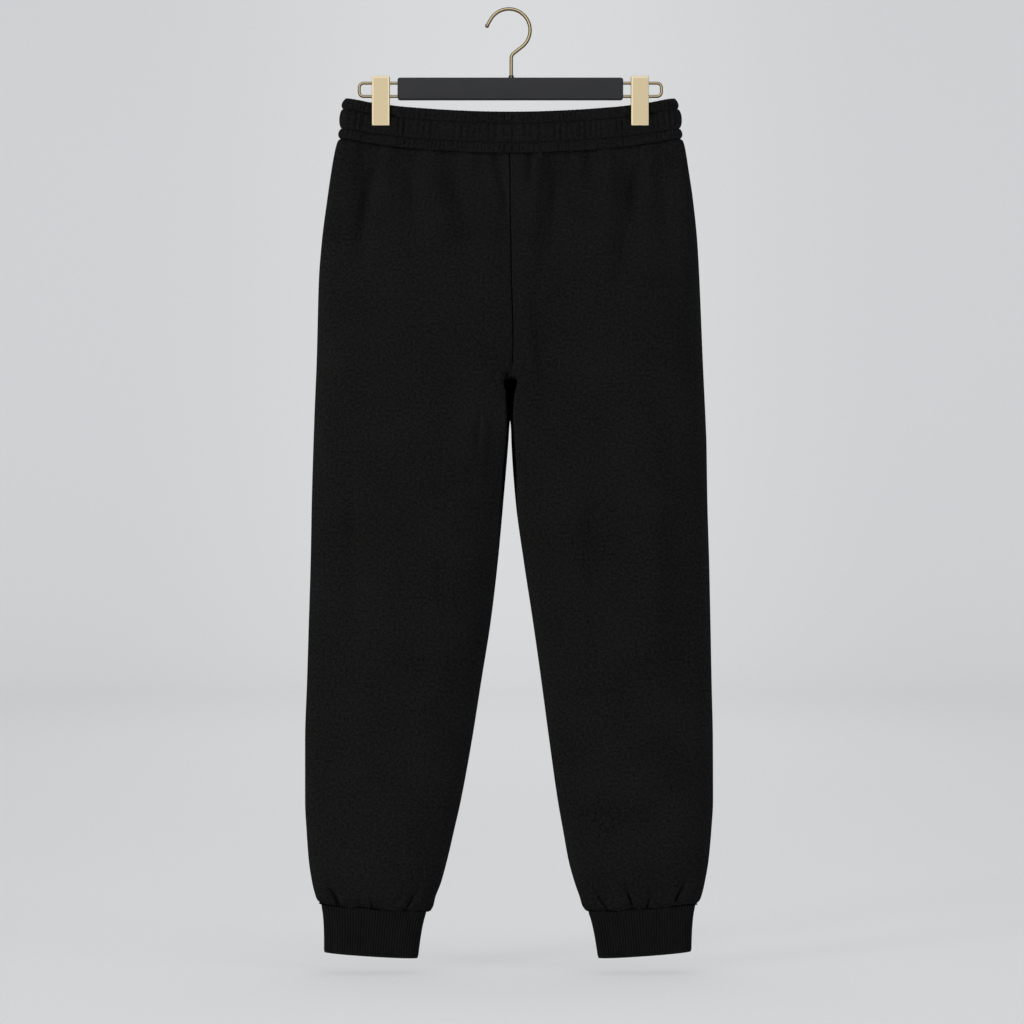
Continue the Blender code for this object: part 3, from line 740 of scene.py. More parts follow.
class Gathers:
    """Uneven little folds side by side: round crowns with sharp valleys between them."""

    step_range = (0.66, 1.34)
    tall_range = (0.6, 1.0)
    floor_range = (0.0, 0.32)
    roundness = 1.5

    def __init__(self, seed: int, count: int, length: float) -> None:
        """Places the folds.

        Args:
            seed: the random seed.
            count: how many folds there are.
            length: the length that they fill, which closes on itself.
        """
        draw = np.random.default_rng(seed)
        steps = draw.uniform(*self.step_range, count)
        self.length = length
        self.valleys = np.concatenate([[0], np.cumsum(steps) / steps.sum()]) * length
        self.tall = draw.uniform(*self.tall_range, count)
        self.floor = draw.uniform(*self.floor_range, count + 1)
        self.floor[-1] = self.floor[0]

    def height(self, at: np.ndarray) -> np.ndarray:
        """The folds' height.

        Args:
            at: places along the length.

        Returns:
            Heights from 0 to 1.
        """
        at = np.mod(at, self.length)
        cell = np.clip(np.searchsorted(self.valleys, at) - 1, 0, len(self.tall) - 1)
        share = (at - self.valleys[cell]) / (self.valleys[cell + 1] - self.valleys[cell])
        share = np.clip(share, 0, 1)
        low = self.floor[cell] * (1 - share) + self.floor[cell + 1] * share
        return low + (self.tall[cell] - low) * np.sin(math.pi * share) ** self.roundness


def finished(item: Object, finish: Finish, slot: str, *nodes: str) -> Object:
    """Gives a piece its finish and its place in the frame, and reports it.

    Args:
        item: the piece's object.
        finish: its finish.
        slot: not used.
        nodes: the frame's nodes that it stands for.

    Returns:
        The same object.
    """
    item.data.materials.clear()
    item.data.materials.append(finish.material())
    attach(item, BODY)
    if nodes:
        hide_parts(*nodes)
    LOG.info("%s: %s, %d faces", item.name, finish.title, len(item.data.polygons))
    return item


def only(kind: type, parts: list) -> list:
    """Those of a bmesh's parts that are of one kind."""
    return [part for part in parts if isinstance(part, kind)]


def drawn(mesh: BMesh, edges: list[BMEdge], move: Vector) -> list[BMEdge]:
    """Draws open edges out in a straight line.

    Args:
        mesh: the mesh.
        edges: the edges.
        move: how far and which way.

    Returns:
        The edges where they end.
    """
    made = bmesh.ops.extrude_edge_only(mesh, edges=edges)["geom"]
    verts = only(BMVert, made)
    bmesh.ops.translate(mesh, verts=verts, vec=move)
    return [edge for edge in only(BMEdge, made) if set(edge.verts) <= set(verts)]


def spun(
    mesh: BMesh,
    edges: list[BMEdge],
    centre: Vector | tuple[float, float, float],
    axis: tuple[float, float, float],
    angle: float,
    steps: int,
) -> list[BMEdge]:
    """Turns open edges round an axis.

    Args:
        mesh: the mesh.
        edges: the edges.
        centre: a point of the axis.
        axis: its direction.
        angle: how far they turn: a whole turn closes on itself.
        steps: how many facets there are.

    Returns:
        The edges where they end.
    """
    verts = dict.fromkeys(vert for edge in edges for vert in edge.verts)
    turn = {"cent": centre, "axis": axis, "angle": angle, "steps": steps}
    joined = {"use_merge": angle == math.tau, "use_duplicate": False}
    return only(BMEdge, bmesh.ops.spin(mesh, geom=[*verts, *edges], **turn, **joined)["geom_last"])


def rounded(mesh: BMesh, edges: list[BMEdge], width: float, segments: int, clamp: bool = False) -> None:
    """Rounds edges off by a width, which may be clamped where they lie close."""
    style = {"offset_type": "OFFSET", "profile": 0.5, "material": -1, "affect": "EDGES"}
    bmesh.ops.bevel(mesh, geom=edges, offset=width, segments=segments, clamp_overlap=clamp, **style)


def as_object(name: str, mesh: BMesh, sharp: float | None = None) -> Object:
    """Turns a bmesh into a linked object with smooth faces, and frees it.

    Args:
        name: the object's name.
        mesh: the bmesh.
        sharp: the angle in degrees from which an edge stays sharp, if any does.

    Returns:
        The object.
    """
    data = bpy.data.meshes.new(name)
    mesh.to_mesh(data)
    mesh.free()
    data.shade_smooth()
    if sharp:
        data.set_sharp_from_angle(angle=math.radians(sharp))
    item = bpy.data.objects.new(name, data)
    bpy.context.scene.collection.objects.link(item)
    return item


def woven(name: str, points: np.ndarray, weave: np.ndarray, facing: Vector | None) -> Object:
    """Lays a flat grid over rows of points, with a UV map in metres.

    Args:
        name: the object's name.
        points: places of the grid's corners, by row and column.
        weave: the cloth's own flat coordinates there, in metres.
        facing: a direction that the outside faces, or None where the grid closes on itself both ways.

    Returns:
        The object.
    """
    rows, columns = points.shape[0] - 1, points.shape[1] - 1
    mesh = bmesh.new()
    mesh.loops.layers.uv.new(CLOTH_UV)
    bmesh.ops.create_grid(mesh, x_segments=columns, y_segments=rows, size=1, calc_uvs=True)
    item = as_object(name, mesh)
    data = item.data

    def cells(flat: np.ndarray) -> tuple[np.ndarray, np.ndarray]:
        """Row and column numbers of places given in shares of the grid."""
        return np.rint(flat[:, 1] * rows).astype(int), np.rint(flat[:, 0] * columns).astype(int)

    flat = np.empty(len(data.vertices) * 3)
    data.vertices.foreach_get("co", flat)
    placed = points[cells((flat.reshape(-1, 3)[:, :2] + 1) / 2)]
    data.vertices.foreach_set("co", placed.ravel())
    layer = data.uv_layers[CLOTH_UV].data
    share = np.empty(len(layer) * 2)
    layer.foreach_get("uv", share)
    layer.foreach_set("uv", weave[cells(share.reshape(-1, 2))].ravel())
    data.update()
    if facing is None:
        mesh = bmesh.new()
        mesh.from_mesh(data)
        bmesh.ops.remove_doubles(mesh, verts=mesh.verts, dist=1e-6)
        bmesh.ops.recalc_face_normals(mesh, faces=mesh.faces)
        mesh.to_mesh(data)
        mesh.free()
        data.shade_smooth()
    elif sum((face.normal * face.area for face in data.polygons), Vector()).dot(facing) < 0:
        data.flip_normals()
    return item


def tube(name: str, rows: list[np.ndarray]) -> Object:
    """Lays cloth over rows of points round a tube with a hollow wall.

    Args:
        name: the object's name.
        rows: the rows, down the outside and up the inside.

    Returns:
        The object.
    """
    points = np.array([*rows, rows[0]])
    points[:, -1] = points[:, 0]
    around, down = run_length(points[0]), run_length(points[:, 0])
    weave = np.stack(np.broadcast_arrays(around[None, :], -down[:, None]), axis=-1)
    return woven(name, points, weave, None)


def thicken(item: Object, wall: float) -> None:
    """Gives an open sheet its wall, inwards from the outside.

    Args:
        item: the sheet.
        wall: the wall's thickness.
    """
    solid = item.modifiers.new("wall", "SOLIDIFY")
    solid.thickness = wall
    solid.offset = -1


def seam(name: str, lines: list[np.ndarray], stitches: int, thick: float) -> Object:
    """Sews lines with stitches, each one a small tapered bead of thread.

    Args:
        name: the object's name.
        lines: the lines' points.
        stitches: how many stitches a line has.
        thick: the thread's radius.

    Returns:
        The stitches' object.
    """
    mesh = bmesh.new()
    for line in lines:
        points = [Vector(point) for point in spaced(line, np.linspace(0, 1, stitches + 1))]
        for one, other in zip(points, points[1:]):
            turn = (other - one).to_track_quat("X", "Z").to_matrix().to_4x4()
            size = Matrix.Diagonal(((other - one).length * STITCH_HALF, thick, thick, 1))
            place = Matrix.Translation((one + other) / 2) @ turn @ size
            bmesh.ops.create_icosphere(mesh, subdivisions=1, radius=1, matrix=place)
    return finished(as_object(name, mesh), THREAD, "fleece")


def seam_wave(x: np.ndarray) -> np.ndarray:
    """How far a cuff's seam wanders down at some places across the garment."""
    return 0.5 * MM * np.sin(x / (8.5 * MM)) + 0.4 * MM * np.sin(x / (5.1 * MM) + 1.3)


@dataclass(frozen=True)
class TrouserForm:
    """The shape that the trousers hang in: sections, folds and the seams' grooves."""

    crotch_start: float = 405 * MM
    crotch: float = 487 * MM
    leg_rounding: float = 150 * MM
    waist_pull_end: float = 330 * MM
    torso_power: float = 2.7
    leg_power: float = 2.25
    side_calm: float = 18 * MM
    fold_clearance: float = 2.4 * MM
    samples: int = 420
    groove: float = 1.0 * MM
    groove_breadth: float = 1.5 * MM
    waist_groove: float = 3.2 * MM
    waist_puckers: float = 0.9 * MM
    ankle_puckers: float = 0.9 * MM
    valley_delay: tuple[float, float] = (5 * MM, 10 * MM)
    wander_reach: float = 60 * MM

    def value(self, name: str, down: float) -> float:
        """A column of the sections' table at a height, in metres."""
        knots = [row.down * MM for row in TROUSER_SECTIONS]
        return float(smooth_line(knots, [getattr(row, name) * MM for row in TROUSER_SECTIONS], down))

    def valley(self, face: Face, down: float) -> tuple[float, float, float]:
        """How deep, broad and sharp the valley at the crotch is.

        Args:
            face: the garment's face.
            down: the height.

        Returns:
            The share of the depth that is left in the valley's middle, its breadth and its power.
        """
        late = self.valley_delay[face is Face.FRONT] * (1 - ease(460 * MM, 484 * MM, down))
        power = 2 + 4 * (1 - ease(500 * MM, 600 * MM, down))
        breadth = table_value(VALLEY_BREADTHS, down) * MM
        return table_value(VALLEY_SHARES, down - late), breadth, float(power)

    def arc(self, outer: float, inner: float, depth: float, down: float, face: Face) -> np.ndarray:
        """A section of one leg panel from its side edge to its inner edge.

        Over the crotch it is half of a flat oval whose middle dips into the valley. Under it the dip
        reaches the inseam, and further down the section rounds into a tube.

        Args:
            outer: the side edge's distance from the centre line.
            inner: the inner edge's distance.
            depth: half the depth.
            down: the height.
            face: the garment's face.

        Returns:
            Points (distance out, depth).
        """
        angle = np.linspace(0, math.pi, 4 * self.samples + 1)
        out = (outer + inner) / 2 + (outer - inner) / 2 * np.cos(angle)
        oval = depth * np.maximum(1 - (out / outer) ** self.torso_power, 0) ** (1 / self.torso_power)
        left, breadth, power = self.valley(face, down)
        apart = np.sqrt(np.maximum(out**2 - inner**2, 0))
        dip = np.sqrt(1 - (1 - left**2) * np.exp(-((apart / breadth) ** power)))
        leg = depth * np.maximum(1 - np.abs(np.cos(angle)) ** self.leg_power, 0) ** (1 / self.leg_power)
        share = ease(self.crotch, self.crotch + self.leg_rounding, down)
        return spaced(np.column_stack([out, oval * dip * (1 - share) + leg * share]), self.shares)

    @property
    def shares(self) -> np.ndarray:
        """Equal shares of a section's length."""
        return np.linspace(0, 1, self.samples + 1)

    def waist_arc(self, half: float, loose: float) -> np.ndarray:
        """A quarter of the waistband's flattened ring, from the side to the centre.

        Args:
            half: half its width.
            loose: the waist seam's share of the shape, the rest being the clips'.

        Returns:
            Points (distance out, depth).
        """
        out = np.array([row.out for row in WAIST_RING]) * MM
        depth = np.array([row.at_clip * (1 - loose) + row.at_seam * loose for row in WAIST_RING]) * MM
        knots = np.arange(-len(out) + 1, len(out))
        at = np.linspace(0, -len(out) + 1, 4 * self.samples + 1)
        full_out = smooth_line(knots, np.concatenate([out, out[-2::-1]]), at)
        full_depth = smooth_line(knots, np.concatenate([depth, -depth[-2::-1]]), at)
        return spaced(np.column_stack([full_out * half / out[-1], full_depth]), self.shares)

    def fold_push(self, folds: tuple[Fold, ...], x: np.ndarray, down: np.ndarray) -> np.ndarray:
        """How far some folds press the cloth inwards.

        Args:
            folds: the folds.
            x: places across the garment.
            down: heights of those places.

        Returns:
            The push at each place.
        """
        push = np.zeros_like(x)
        for fold in folds:
            share = (down - fold.top * MM) / ((fold.foot - fold.top) * MM)
            line = (fold.x_top + (fold.x_foot - fold.x_top) * ease(0, 1, share)) * MM
            reach = np.where(share < fold.peak, share / fold.peak, (1 - share) / (1 - fold.peak))
            length = np.sin(math.pi / 2 * np.clip(reach, 0, 1)) ** 2
            push += fold.depth * MM * length * bell(x - line, fold.breadth * MM)
        return push

    def seam_shift(self, face: Face, x: np.ndarray, down: float) -> np.ndarray:
        """How far the centre seam and the cloth beside it wander to the right.

        Args:
            face: the garment's face.
            x: places across the garment.
            down: the height.

        Returns:
            The shift at each place.
        """
        if face is Face.FRONT:
            return np.zeros_like(x)
        near = np.clip(1 - np.abs(x) / self.wander_reach, 0, 1) ** 2
        return table_value(SEAM_WANDER, down) * MM * near


@dataclass(frozen=True)
class LegPanel:
    """One leg panel: a sheet of fleece from the waist seam to the cuff's seam."""

    side: Side
    face: Face
    form: TrouserForm
    flat: tuple[float, float]
    area: float
    columns: int = 168
    edge_share: float = 0.3
    wall: float = 1.9 * MM
    overlap: float = 0.3 * MM
    edge_calm: float = 5 * MM
    waist_fade: float = 17 * MM
    ankle_fade: float = 8 * MM
    waist_gathers: tuple[int, float] = (27, 230 * MM)
    ankle_gathers: tuple[int, float] = (26, 240 * MM)
    mean_gather: float = 0.6
    waist_groove: float = 2.0 * MM
    ankle_groove: float = 1.7 * MM
    seam_thread: float = 0.5 * MM
    seam_stitches: int = 180
    row_places: tuple[float, ...] = (152.6, 175, 230, 390, 425, 490, 560, 620, 980, 1030, 1060, 1070)
    row_steps: tuple[float, ...] = (1.2, 2.2, 4.0, 4.4, 1.7, 1.7, 4.0, 6.0, 6.0, 2.0, 1.1, 0.8)

    @property
    def title(self) -> str:
        """The panel's face and side."""
        return f"{self.face.title}_{self.side.title}"

    def puckers(self) -> tuple[Gathers, Gathers]:
        """The small gathers at the waist seam and at the cuff's seam."""
        seed = 40 + 2 * self.side.value + self.face.value
        return Gathers(seed, *self.waist_gathers), Gathers(seed + 9, *self.ankle_gathers)

    def split(self, down: float) -> float:
        """How far the panel has left the centre seam: 0 over the crotch and 1 on the leg."""
        return np.clip((down - self.form.crotch_start) / (self.form.crotch - self.form.crotch_start), 0, 1)

    def push(self, curve: np.ndarray, height: np.ndarray, down: float, along: np.ndarray) -> np.ndarray:
        """How far folds, gathers and seams press the cloth inwards along one row.

        Args:
            curve: the row's distances from the centre line, and its depths.
            height: the row's heights.
            down: the row's height at the side edge.
            along: distances along the row from the side edge.

        Returns:
            The push at each point.
        """
        form, (out, deep) = self.form, curve.T
        x = self.side.value * out
        back = self.face is Face.BACK
        under = self.split(down)
        from_inner = along[-1] - along
        calm = ease(0, form.side_calm, along) * (1 - under * (1 - ease(0, form.side_calm, from_inner)))
        push = form.fold_push(BACK_FOLDS if back else FRONT_FOLDS, x, height) * calm
        near = ease(0, self.edge_calm, along) * ease(0, self.edge_calm, from_inner)
        push += form.fold_push(BACK_CREASES if back else FRONT_CREASES, x, height) * near
        # The two walls of the flattened waist leave the folds little depth.
        most = np.maximum(deep - form.fold_clearance, 0.3 * MM)
        push = np.where(push > 0, most * np.tanh(push / most), push)
        waist, ankle = self.puckers()
        from_waist, from_cuff = down - self.row_places[0] * MM, self.row_places[-1] * MM - down
        fade = math.exp(-from_waist / self.waist_fade) * ease(0, 2.5 * MM, from_waist)
        push += form.waist_puckers * fade * (self.mean_gather - waist.height(out)) * near
        fade = math.exp(-from_cuff / self.ankle_fade)
        push += form.ankle_puckers * fade * (self.mean_gather - ankle.height(out)) * near
        groove = bell(along, form.groove_breadth) + bell(from_inner, form.groove_breadth) * (1 - under)
        groove += float(bell(from_cuff, self.ankle_groove)) * 1.3
        push += form.groove * np.minimum(groove, 1.4)
        push += form.waist_groove * float(bell(from_waist, self.waist_groove))
        if back:
            push -= self.back_ridges(down, along, from_inner)
        return push

    def back_ridges(self, down: float, along: np.ndarray, from_inner: np.ndarray) -> np.ndarray:
        """How far the seam allowances under the back lift the cloth.

        Args:
            down: the row's height at the side edge.
            along: distances along the row from the side edge.
            from_inner: distances along the row from the inner edge.

        Returns:
            The lift at each point.
        """
        lift = np.zeros_like(along)
        for ridge in (row for row in BACK_RIDGES if row.side is self.side):
            shown = ease(*ridge.fade_in, down / MM) * (1 - ease(*ridge.fade_out, down / MM))
            away = (from_inner if ridge.at_inseam else along) - ridge.off * MM
            lift += ridge.height * MM * shown * bell(away, ridge.breadth * MM)
        return lift

    def row(self, down: float, shares: np.ndarray) -> tuple[np.ndarray, np.ndarray]:
        """One row of the sheet's points.

        Args:
            down: the row's height at the side edge.
            shares: the columns' shares of its length.

        Returns:
            The points, and the cloth's flat coordinates there.
        """
        form, side = self.form, self.side
        outer, inner = (form.value(f"{side.title}_{edge}", down) for edge in ("side", "inner"))
        drop = form.value("drop", down)
        waist = self.row_places[0] * MM
        curve = form.arc(outer, inner, form.value(self.face.title, down), down, self.face)
        loose = np.clip((down - waist) / (form.waist_pull_end - waist), 0, 1)
        pull = 1 - math.sin(math.pi / 2 * loose)
        if pull > 0:
            curve = (1 - pull) * curve + pull * form.waist_arc(outer, 1.0)
        under = self.split(down)
        normals = outward(curve, (-under, math.sqrt(1 - under**2)))
        share = (outer - curve[:, 0]) / (outer - inner)
        height = down + drop * (share if down > form.crotch else 1 - (1 - share) ** 2)
        along = run_length(curve)
        curve = curve - self.push(curve, height, down, along)[:, None] * normals
        curve[-1, 0] = inner
        x = side.value * (curve[:, 0] - self.overlap / 2)
        x = x + form.seam_shift(self.face, x, down)
        height = height + seam_wave(x) * math.exp((down - self.row_places[-1] * MM) / (6 * MM))
        y = self.face.value * (curve[:, 1] - self.overlap / 2)
        points = spaced(np.column_stack([x, y, -height]), shares)
        # Each panel has a stretch of the weave of its own, measured from its side edge.
        across = self.face.value * 0.8 + side.value * (0.3 - along[-1] * shares)
        return points, np.column_stack([across, -np.full_like(shares, down)])

    def build(self) -> Object:
        """Builds and dresses the panel.

        Returns:
            Its object.
        """
        even = np.linspace(0, 1, self.columns + 1)
        shares = even - self.edge_share * np.sin(math.tau * even) / math.tau
        rows = [self.row(down * MM, shares) for down in graded(self.row_places, self.row_steps)]
        points, weave = (np.array([row[k] for row in rows]) for k in (0, 1))
        if self.side is Side.LEFT:
            self.centre_seam(points[:, -1])
        item = woven(f"fleece_{self.title}", points, weave, Vector((0, self.face.value, 0)))
        thicken(item, self.wall)
        finished(item, FLEECE, "fleece", f"trouser_{self.title}")
        return item

    def centre_seam(self, edge: np.ndarray) -> None:
        """Sews the centre seam over the crotch, sunk between the panels.

        Args:
            edge: the panel's inner edge, from the waist seam down.
        """
        sewn = edge[edge[:, 2] > -self.form.crotch_start - 22 * MM] + (0, self.face.value * 0.3 * MM, 0)
        seam(f"centre_seam_{self.face.title}", [sewn], self.seam_stitches, self.seam_thread)


@dataclass(frozen=True)
class Waistband:
    """The shirred waistband: a strip folded double over elastic and closed at the centre back."""

    form: TrouserForm
    flat: tuple[float, float]
    columns: int = 1320
    wall: float = 3.0 * MM
    channel_steps: tuple[int, ...] = (10, 15, 10)
    clip_grip: tuple[float, float] = (144 * MM, 167 * MM)
    grip_fade: float = 6 * MM
    grip_crown: float = 0.35
    crown_roundness: float = 0.55
    least_crown: float = 0.15
    pinch_sharpness: float = 0.45
    row_gather: float = 0.22
    mean_gather: float = 0.75
    join: tuple[float, float] = (-7.0 * MM, 2.2 * MM)
    join_groove: float = 1.6
    join_breadth: float = 0.9 * MM
    edge_wave: float = 0.5
    seam_thread: float = 0.45 * MM
    seam_stitches: int = 280
    inner_rows: int = 8
    turn_shares: tuple[float, ...] = (0.12, 0.3, 0.5, 0.7, 0.88)

    def free_of_clips(self, x: np.ndarray) -> np.ndarray:
        """How free of a clip's grip the band is.

        Args:
            x: places across the garment.

        Returns:
            0 under a clip and 1 well away from it.
        """
        low, high = self.clip_grip
        off, fade = np.abs(x), self.grip_fade
        return 1 - ease(low - fade, low, off) * (1 - ease(high, high + fade, off))

    def stations(self) -> list[tuple[float, int, float]]:
        """The outside's rows: each one's place among the sewn rows, its channel, and its share of it."""
        found = [(0.0, 0, 0.0)]
        for channel, steps in enumerate(self.channel_steps):
            shares = (1 - np.cos(math.pi * np.arange(1, steps + 1) / steps)) / 2
            found += [(channel + float(share), channel, float(share)) for share in shares]
        return found

    def shape(self, place: float, name: str) -> float:
        """A column of the rows' table between two rows."""
        return float(smooth_line(np.arange(len(BAND_ROWS)), [getattr(row, name) for row in BAND_ROWS], place))

    def ring(self, place: float, inset: float) -> np.ndarray:
        """The band's ring at a place among the sewn rows, set in a little."""
        quarter = self.form.waist_arc(self.shape(place, "half") * MM, self.shape(place, "loose"))
        return whole_ring(quarter - outward(quarter, (0, 1)) * inset, self.columns)

    def placed(self, place: float, line: np.ndarray, rise: float | np.ndarray = 0.0) -> np.ndarray:
        """A ring's points at their heights, which are lower towards the centre.

        Args:
            place: the ring's place among the sewn rows.
            line: its points.
            rise: how far they are lifted.

        Returns:
            Rows of points.
        """
        side, centre, half = (self.shape(place, name) * MM for name in ("side", "centre", "half"))
        down = side + (centre - side) * (1 - np.clip(line[:, 0] / half, -1, 1) ** 2)
        return np.column_stack([line, -(down - rise)])

    def outside(self) -> list[np.ndarray]:
        """The outside's rows of points, from the top edge to the waist seam."""
        rows = []
        gathers = [Gathers(7 + k, row.count, 1.0) for k, row in enumerate(BAND_CHANNELS)]
        for place, channel, share in self.stations():
            line = self.ring(place, 0.0)
            free = self.free_of_clips(line[:, 0])
            around = np.linspace(0, 1, self.columns + 1) + 0.0006 * (share - 0.5)
            bulge = math.sin(math.pi * share)
            gripped = self.grip_crown + (1 - self.grip_crown) * free
            crown = BAND_CHANNELS[channel].crown * bulge**self.crown_roundness * gripped + self.least_crown
            wave = BAND_CHANNELS[channel].gather * (self.row_gather + (1 - self.row_gather) * bulge**0.6)
            wave = wave * (gathers[channel].height(around) - self.mean_gather)
            wave = wave * free * (1 - self.joined(line))
            pinch = self.shape(place, "pinch") * (1 - bulge**self.pinch_sharpness)
            groove = sum(bell(line[:, 0] - edge, self.join_breadth) for edge in self.join) * (line[:, 1] < 0)
            groove = self.join_groove * groove
            rise = self.edge_wave * (gathers[0].height(around) - 0.6) * free * max(0.0, 1 - place / 0.5)
            line = line + ring_normals(line) * ((crown + wave - pinch - groove * bulge) * MM)[:, None]
            rows.append(self.placed(place, line, rise * MM))
        return rows

    def joined(self, line: np.ndarray) -> np.ndarray:
        """How much the join at the centre of the back flattens the gathers along a row."""
        middle, half = sum(self.join) / 2, (self.join[1] - self.join[0]) / 2
        flat = 1 - ease(half - 0.5 * MM, half + 2.5 * MM, np.abs(line[:, 0] - middle))
        return flat * (line[:, 1] < 0)

    def build(self) -> Object:
        """Builds and dresses the band, with stitches that part its channels and close the waist seam.

        Returns:
            The band's object.
        """
        outer = self.outside()
        places = np.linspace(len(BAND_ROWS) - 1, 0, self.inner_rows + 1)
        inner = [self.placed(place, self.ring(place, self.wall)) for place in places]
        top = [self.turned(inner[-1], outer[0], share) for share in self.turn_shares]
        item = tube("band_shirred", outer + inner + top)
        finished(item, FLEECE, "fleece", "waistband")
        sewn = [outer[row] for row in np.cumsum(self.channel_steps)]
        # The near-black stitches are real rows of stitching, and partly painted shade in the grooves between
        # the channels.
        seam("band_stitching", sewn, self.seam_stitches, self.seam_thread)
        return item

    def turned(self, start: np.ndarray, stop: np.ndarray, share: float) -> np.ndarray:
        """A row of the rounded top edge between the inside's row and the outside's.

        Args:
            start: the inside's top row.
            stop: the outside's top row.
            share: how far round the turn the row is.

        Returns:
            Its points.
        """
        middle, across = (start + stop) / 2, (stop - start) / 2
        turned = middle - across * math.cos(math.pi * share)
        turned[:, 2] += self.wall * 0.42 * math.sin(math.pi * share)
        return turned


@dataclass(frozen=True)
class Cuff:
    """A cuff: a tube of rib knit, folded double at the hem."""

    side: Side
    ends: tuple[CuffEdge, CuffEdge]
    flat: tuple[float, float]
    ribs: int = 80
    rib_columns: int = 8
    rib_height: float = 1.25 * MM
    power: float = 2.2
    wall: float = 2.4 * MM
    flare: float = 4.0 * MM
    flare_reach: float = 0.16
    hem_flare: float = 0.6 * MM
    hem_reach: float = 0.1
    tuck: float = 1.6 * MM
    tuck_reach: float = 0.07
    hollow: float = 0.25 * MM
    least_rib: float = 0.7
    rib_roundness: float = 0.8
    outer_rows: int = 26
    inner_rows: int = 6
    seam_share: float = 0.045
    seam_cord: float = 0.9 * MM
    seam_stitches: int = 150
    quarter_points: int = 400

    def line(self, share: float, inset: float, rib: float, drop: float) -> np.ndarray:
        """One row of points round the cuff.

        Args:
            share: its share of the cuff's height, from the top.
            inset: how far it is set in.
            rib: the ribs' height.
            drop: how far it is lowered.

        Returns:
            The points, the last one being the first again.
        """
        top, hem = self.ends
        edge = CuffEdge(*((a * (1 - share) + b * share) * MM for a, b in zip(top, hem)))
        flare = self.flare * math.exp(-share / self.flare_reach)
        flare += self.hem_flare * math.exp((share - 1) / self.hem_reach)
        half, middle = (edge.side - edge.inner) / 2 + flare, (edge.side + edge.inner) / 2
        angle = np.linspace(0, math.pi / 2, self.quarter_points)
        reach = (np.cos(angle) ** self.power + np.sin(angle) ** self.power) ** (-1 / self.power)
        quarter = np.column_stack([half * np.cos(angle) * reach, edge.depth * np.sin(angle) * reach])
        count = self.ribs * self.rib_columns
        line = whole_ring(quarter - outward(quarter, (0, 1)) * inset, count)
        draw = np.random.default_rng(21 + self.side.value)
        tall = np.append(np.repeat(draw.uniform(self.least_rib, 1.0, self.ribs), self.rib_columns), 0)
        crest = np.abs(np.sin(math.pi * np.arange(count + 1) / self.rib_columns)) ** self.rib_roundness
        line = line + ring_normals(line) * (rib * (crest * tall - 1))[:, None]
        place = np.clip((line[:, 0] + half) / (2 * half), 0, 1)
        height = edge.inner_down + (edge.side_down - edge.inner_down) * place + drop
        return np.column_stack([self.side.value * (middle + line[:, 0]), line[:, 1], -height])

    def build(self) -> Object:
        """Builds and dresses the cuff and its seam.

        Returns:
            The cuff's object.
        """
        name = f"cuff_{self.side.title}"
        rows = []
        for share in np.linspace(0, 1, self.outer_rows + 1):
            tuck = self.tuck * float(bell(share, self.tuck_reach))
            tuck += self.hollow * math.sin(math.pi * share) ** 2
            close = float(ease(0.95, 1.0, share))
            rows.append(self.line(share, tuck + close * 0.9 * MM, self.rib_height * (1 - 0.45 * close), 0))
        for turn in (0.2, 0.4, 0.6, 0.8):
            inset = max(self.wall * (1 - math.cos(math.pi * turn)) / 2, 1.0 * MM)
            drop = 0.7 * MM * math.sin(math.pi * turn)
            rows.append(self.line(1.0, inset, 0.3 * MM * (1 - turn), drop))
        for share in np.linspace(1, 0, self.inner_rows + 1):
            rows.append(self.line(share, self.wall, 0.0, 0))
        rows.append(self.line(0.0, self.wall * 0.6, 0.0, 0))
        # The near-black cord round the cuff's seam is a real seam, and partly painted shade where the leg's
        # hem meets the cuff.
        cord = self.line(self.seam_share, -0.7 * MM, 0, 0)
        cord[:, 2] -= seam_wave(cord[:, 0])
        seam(f"{name}_seam", [cord], self.seam_stitches, self.seam_cord)
        item = tube(f"rib_{name}", rows)
        finished(item, RIB, "rib", name)
        legs = [f"fleece_{face.title}_{self.side.title}" for face in Face]
        return item


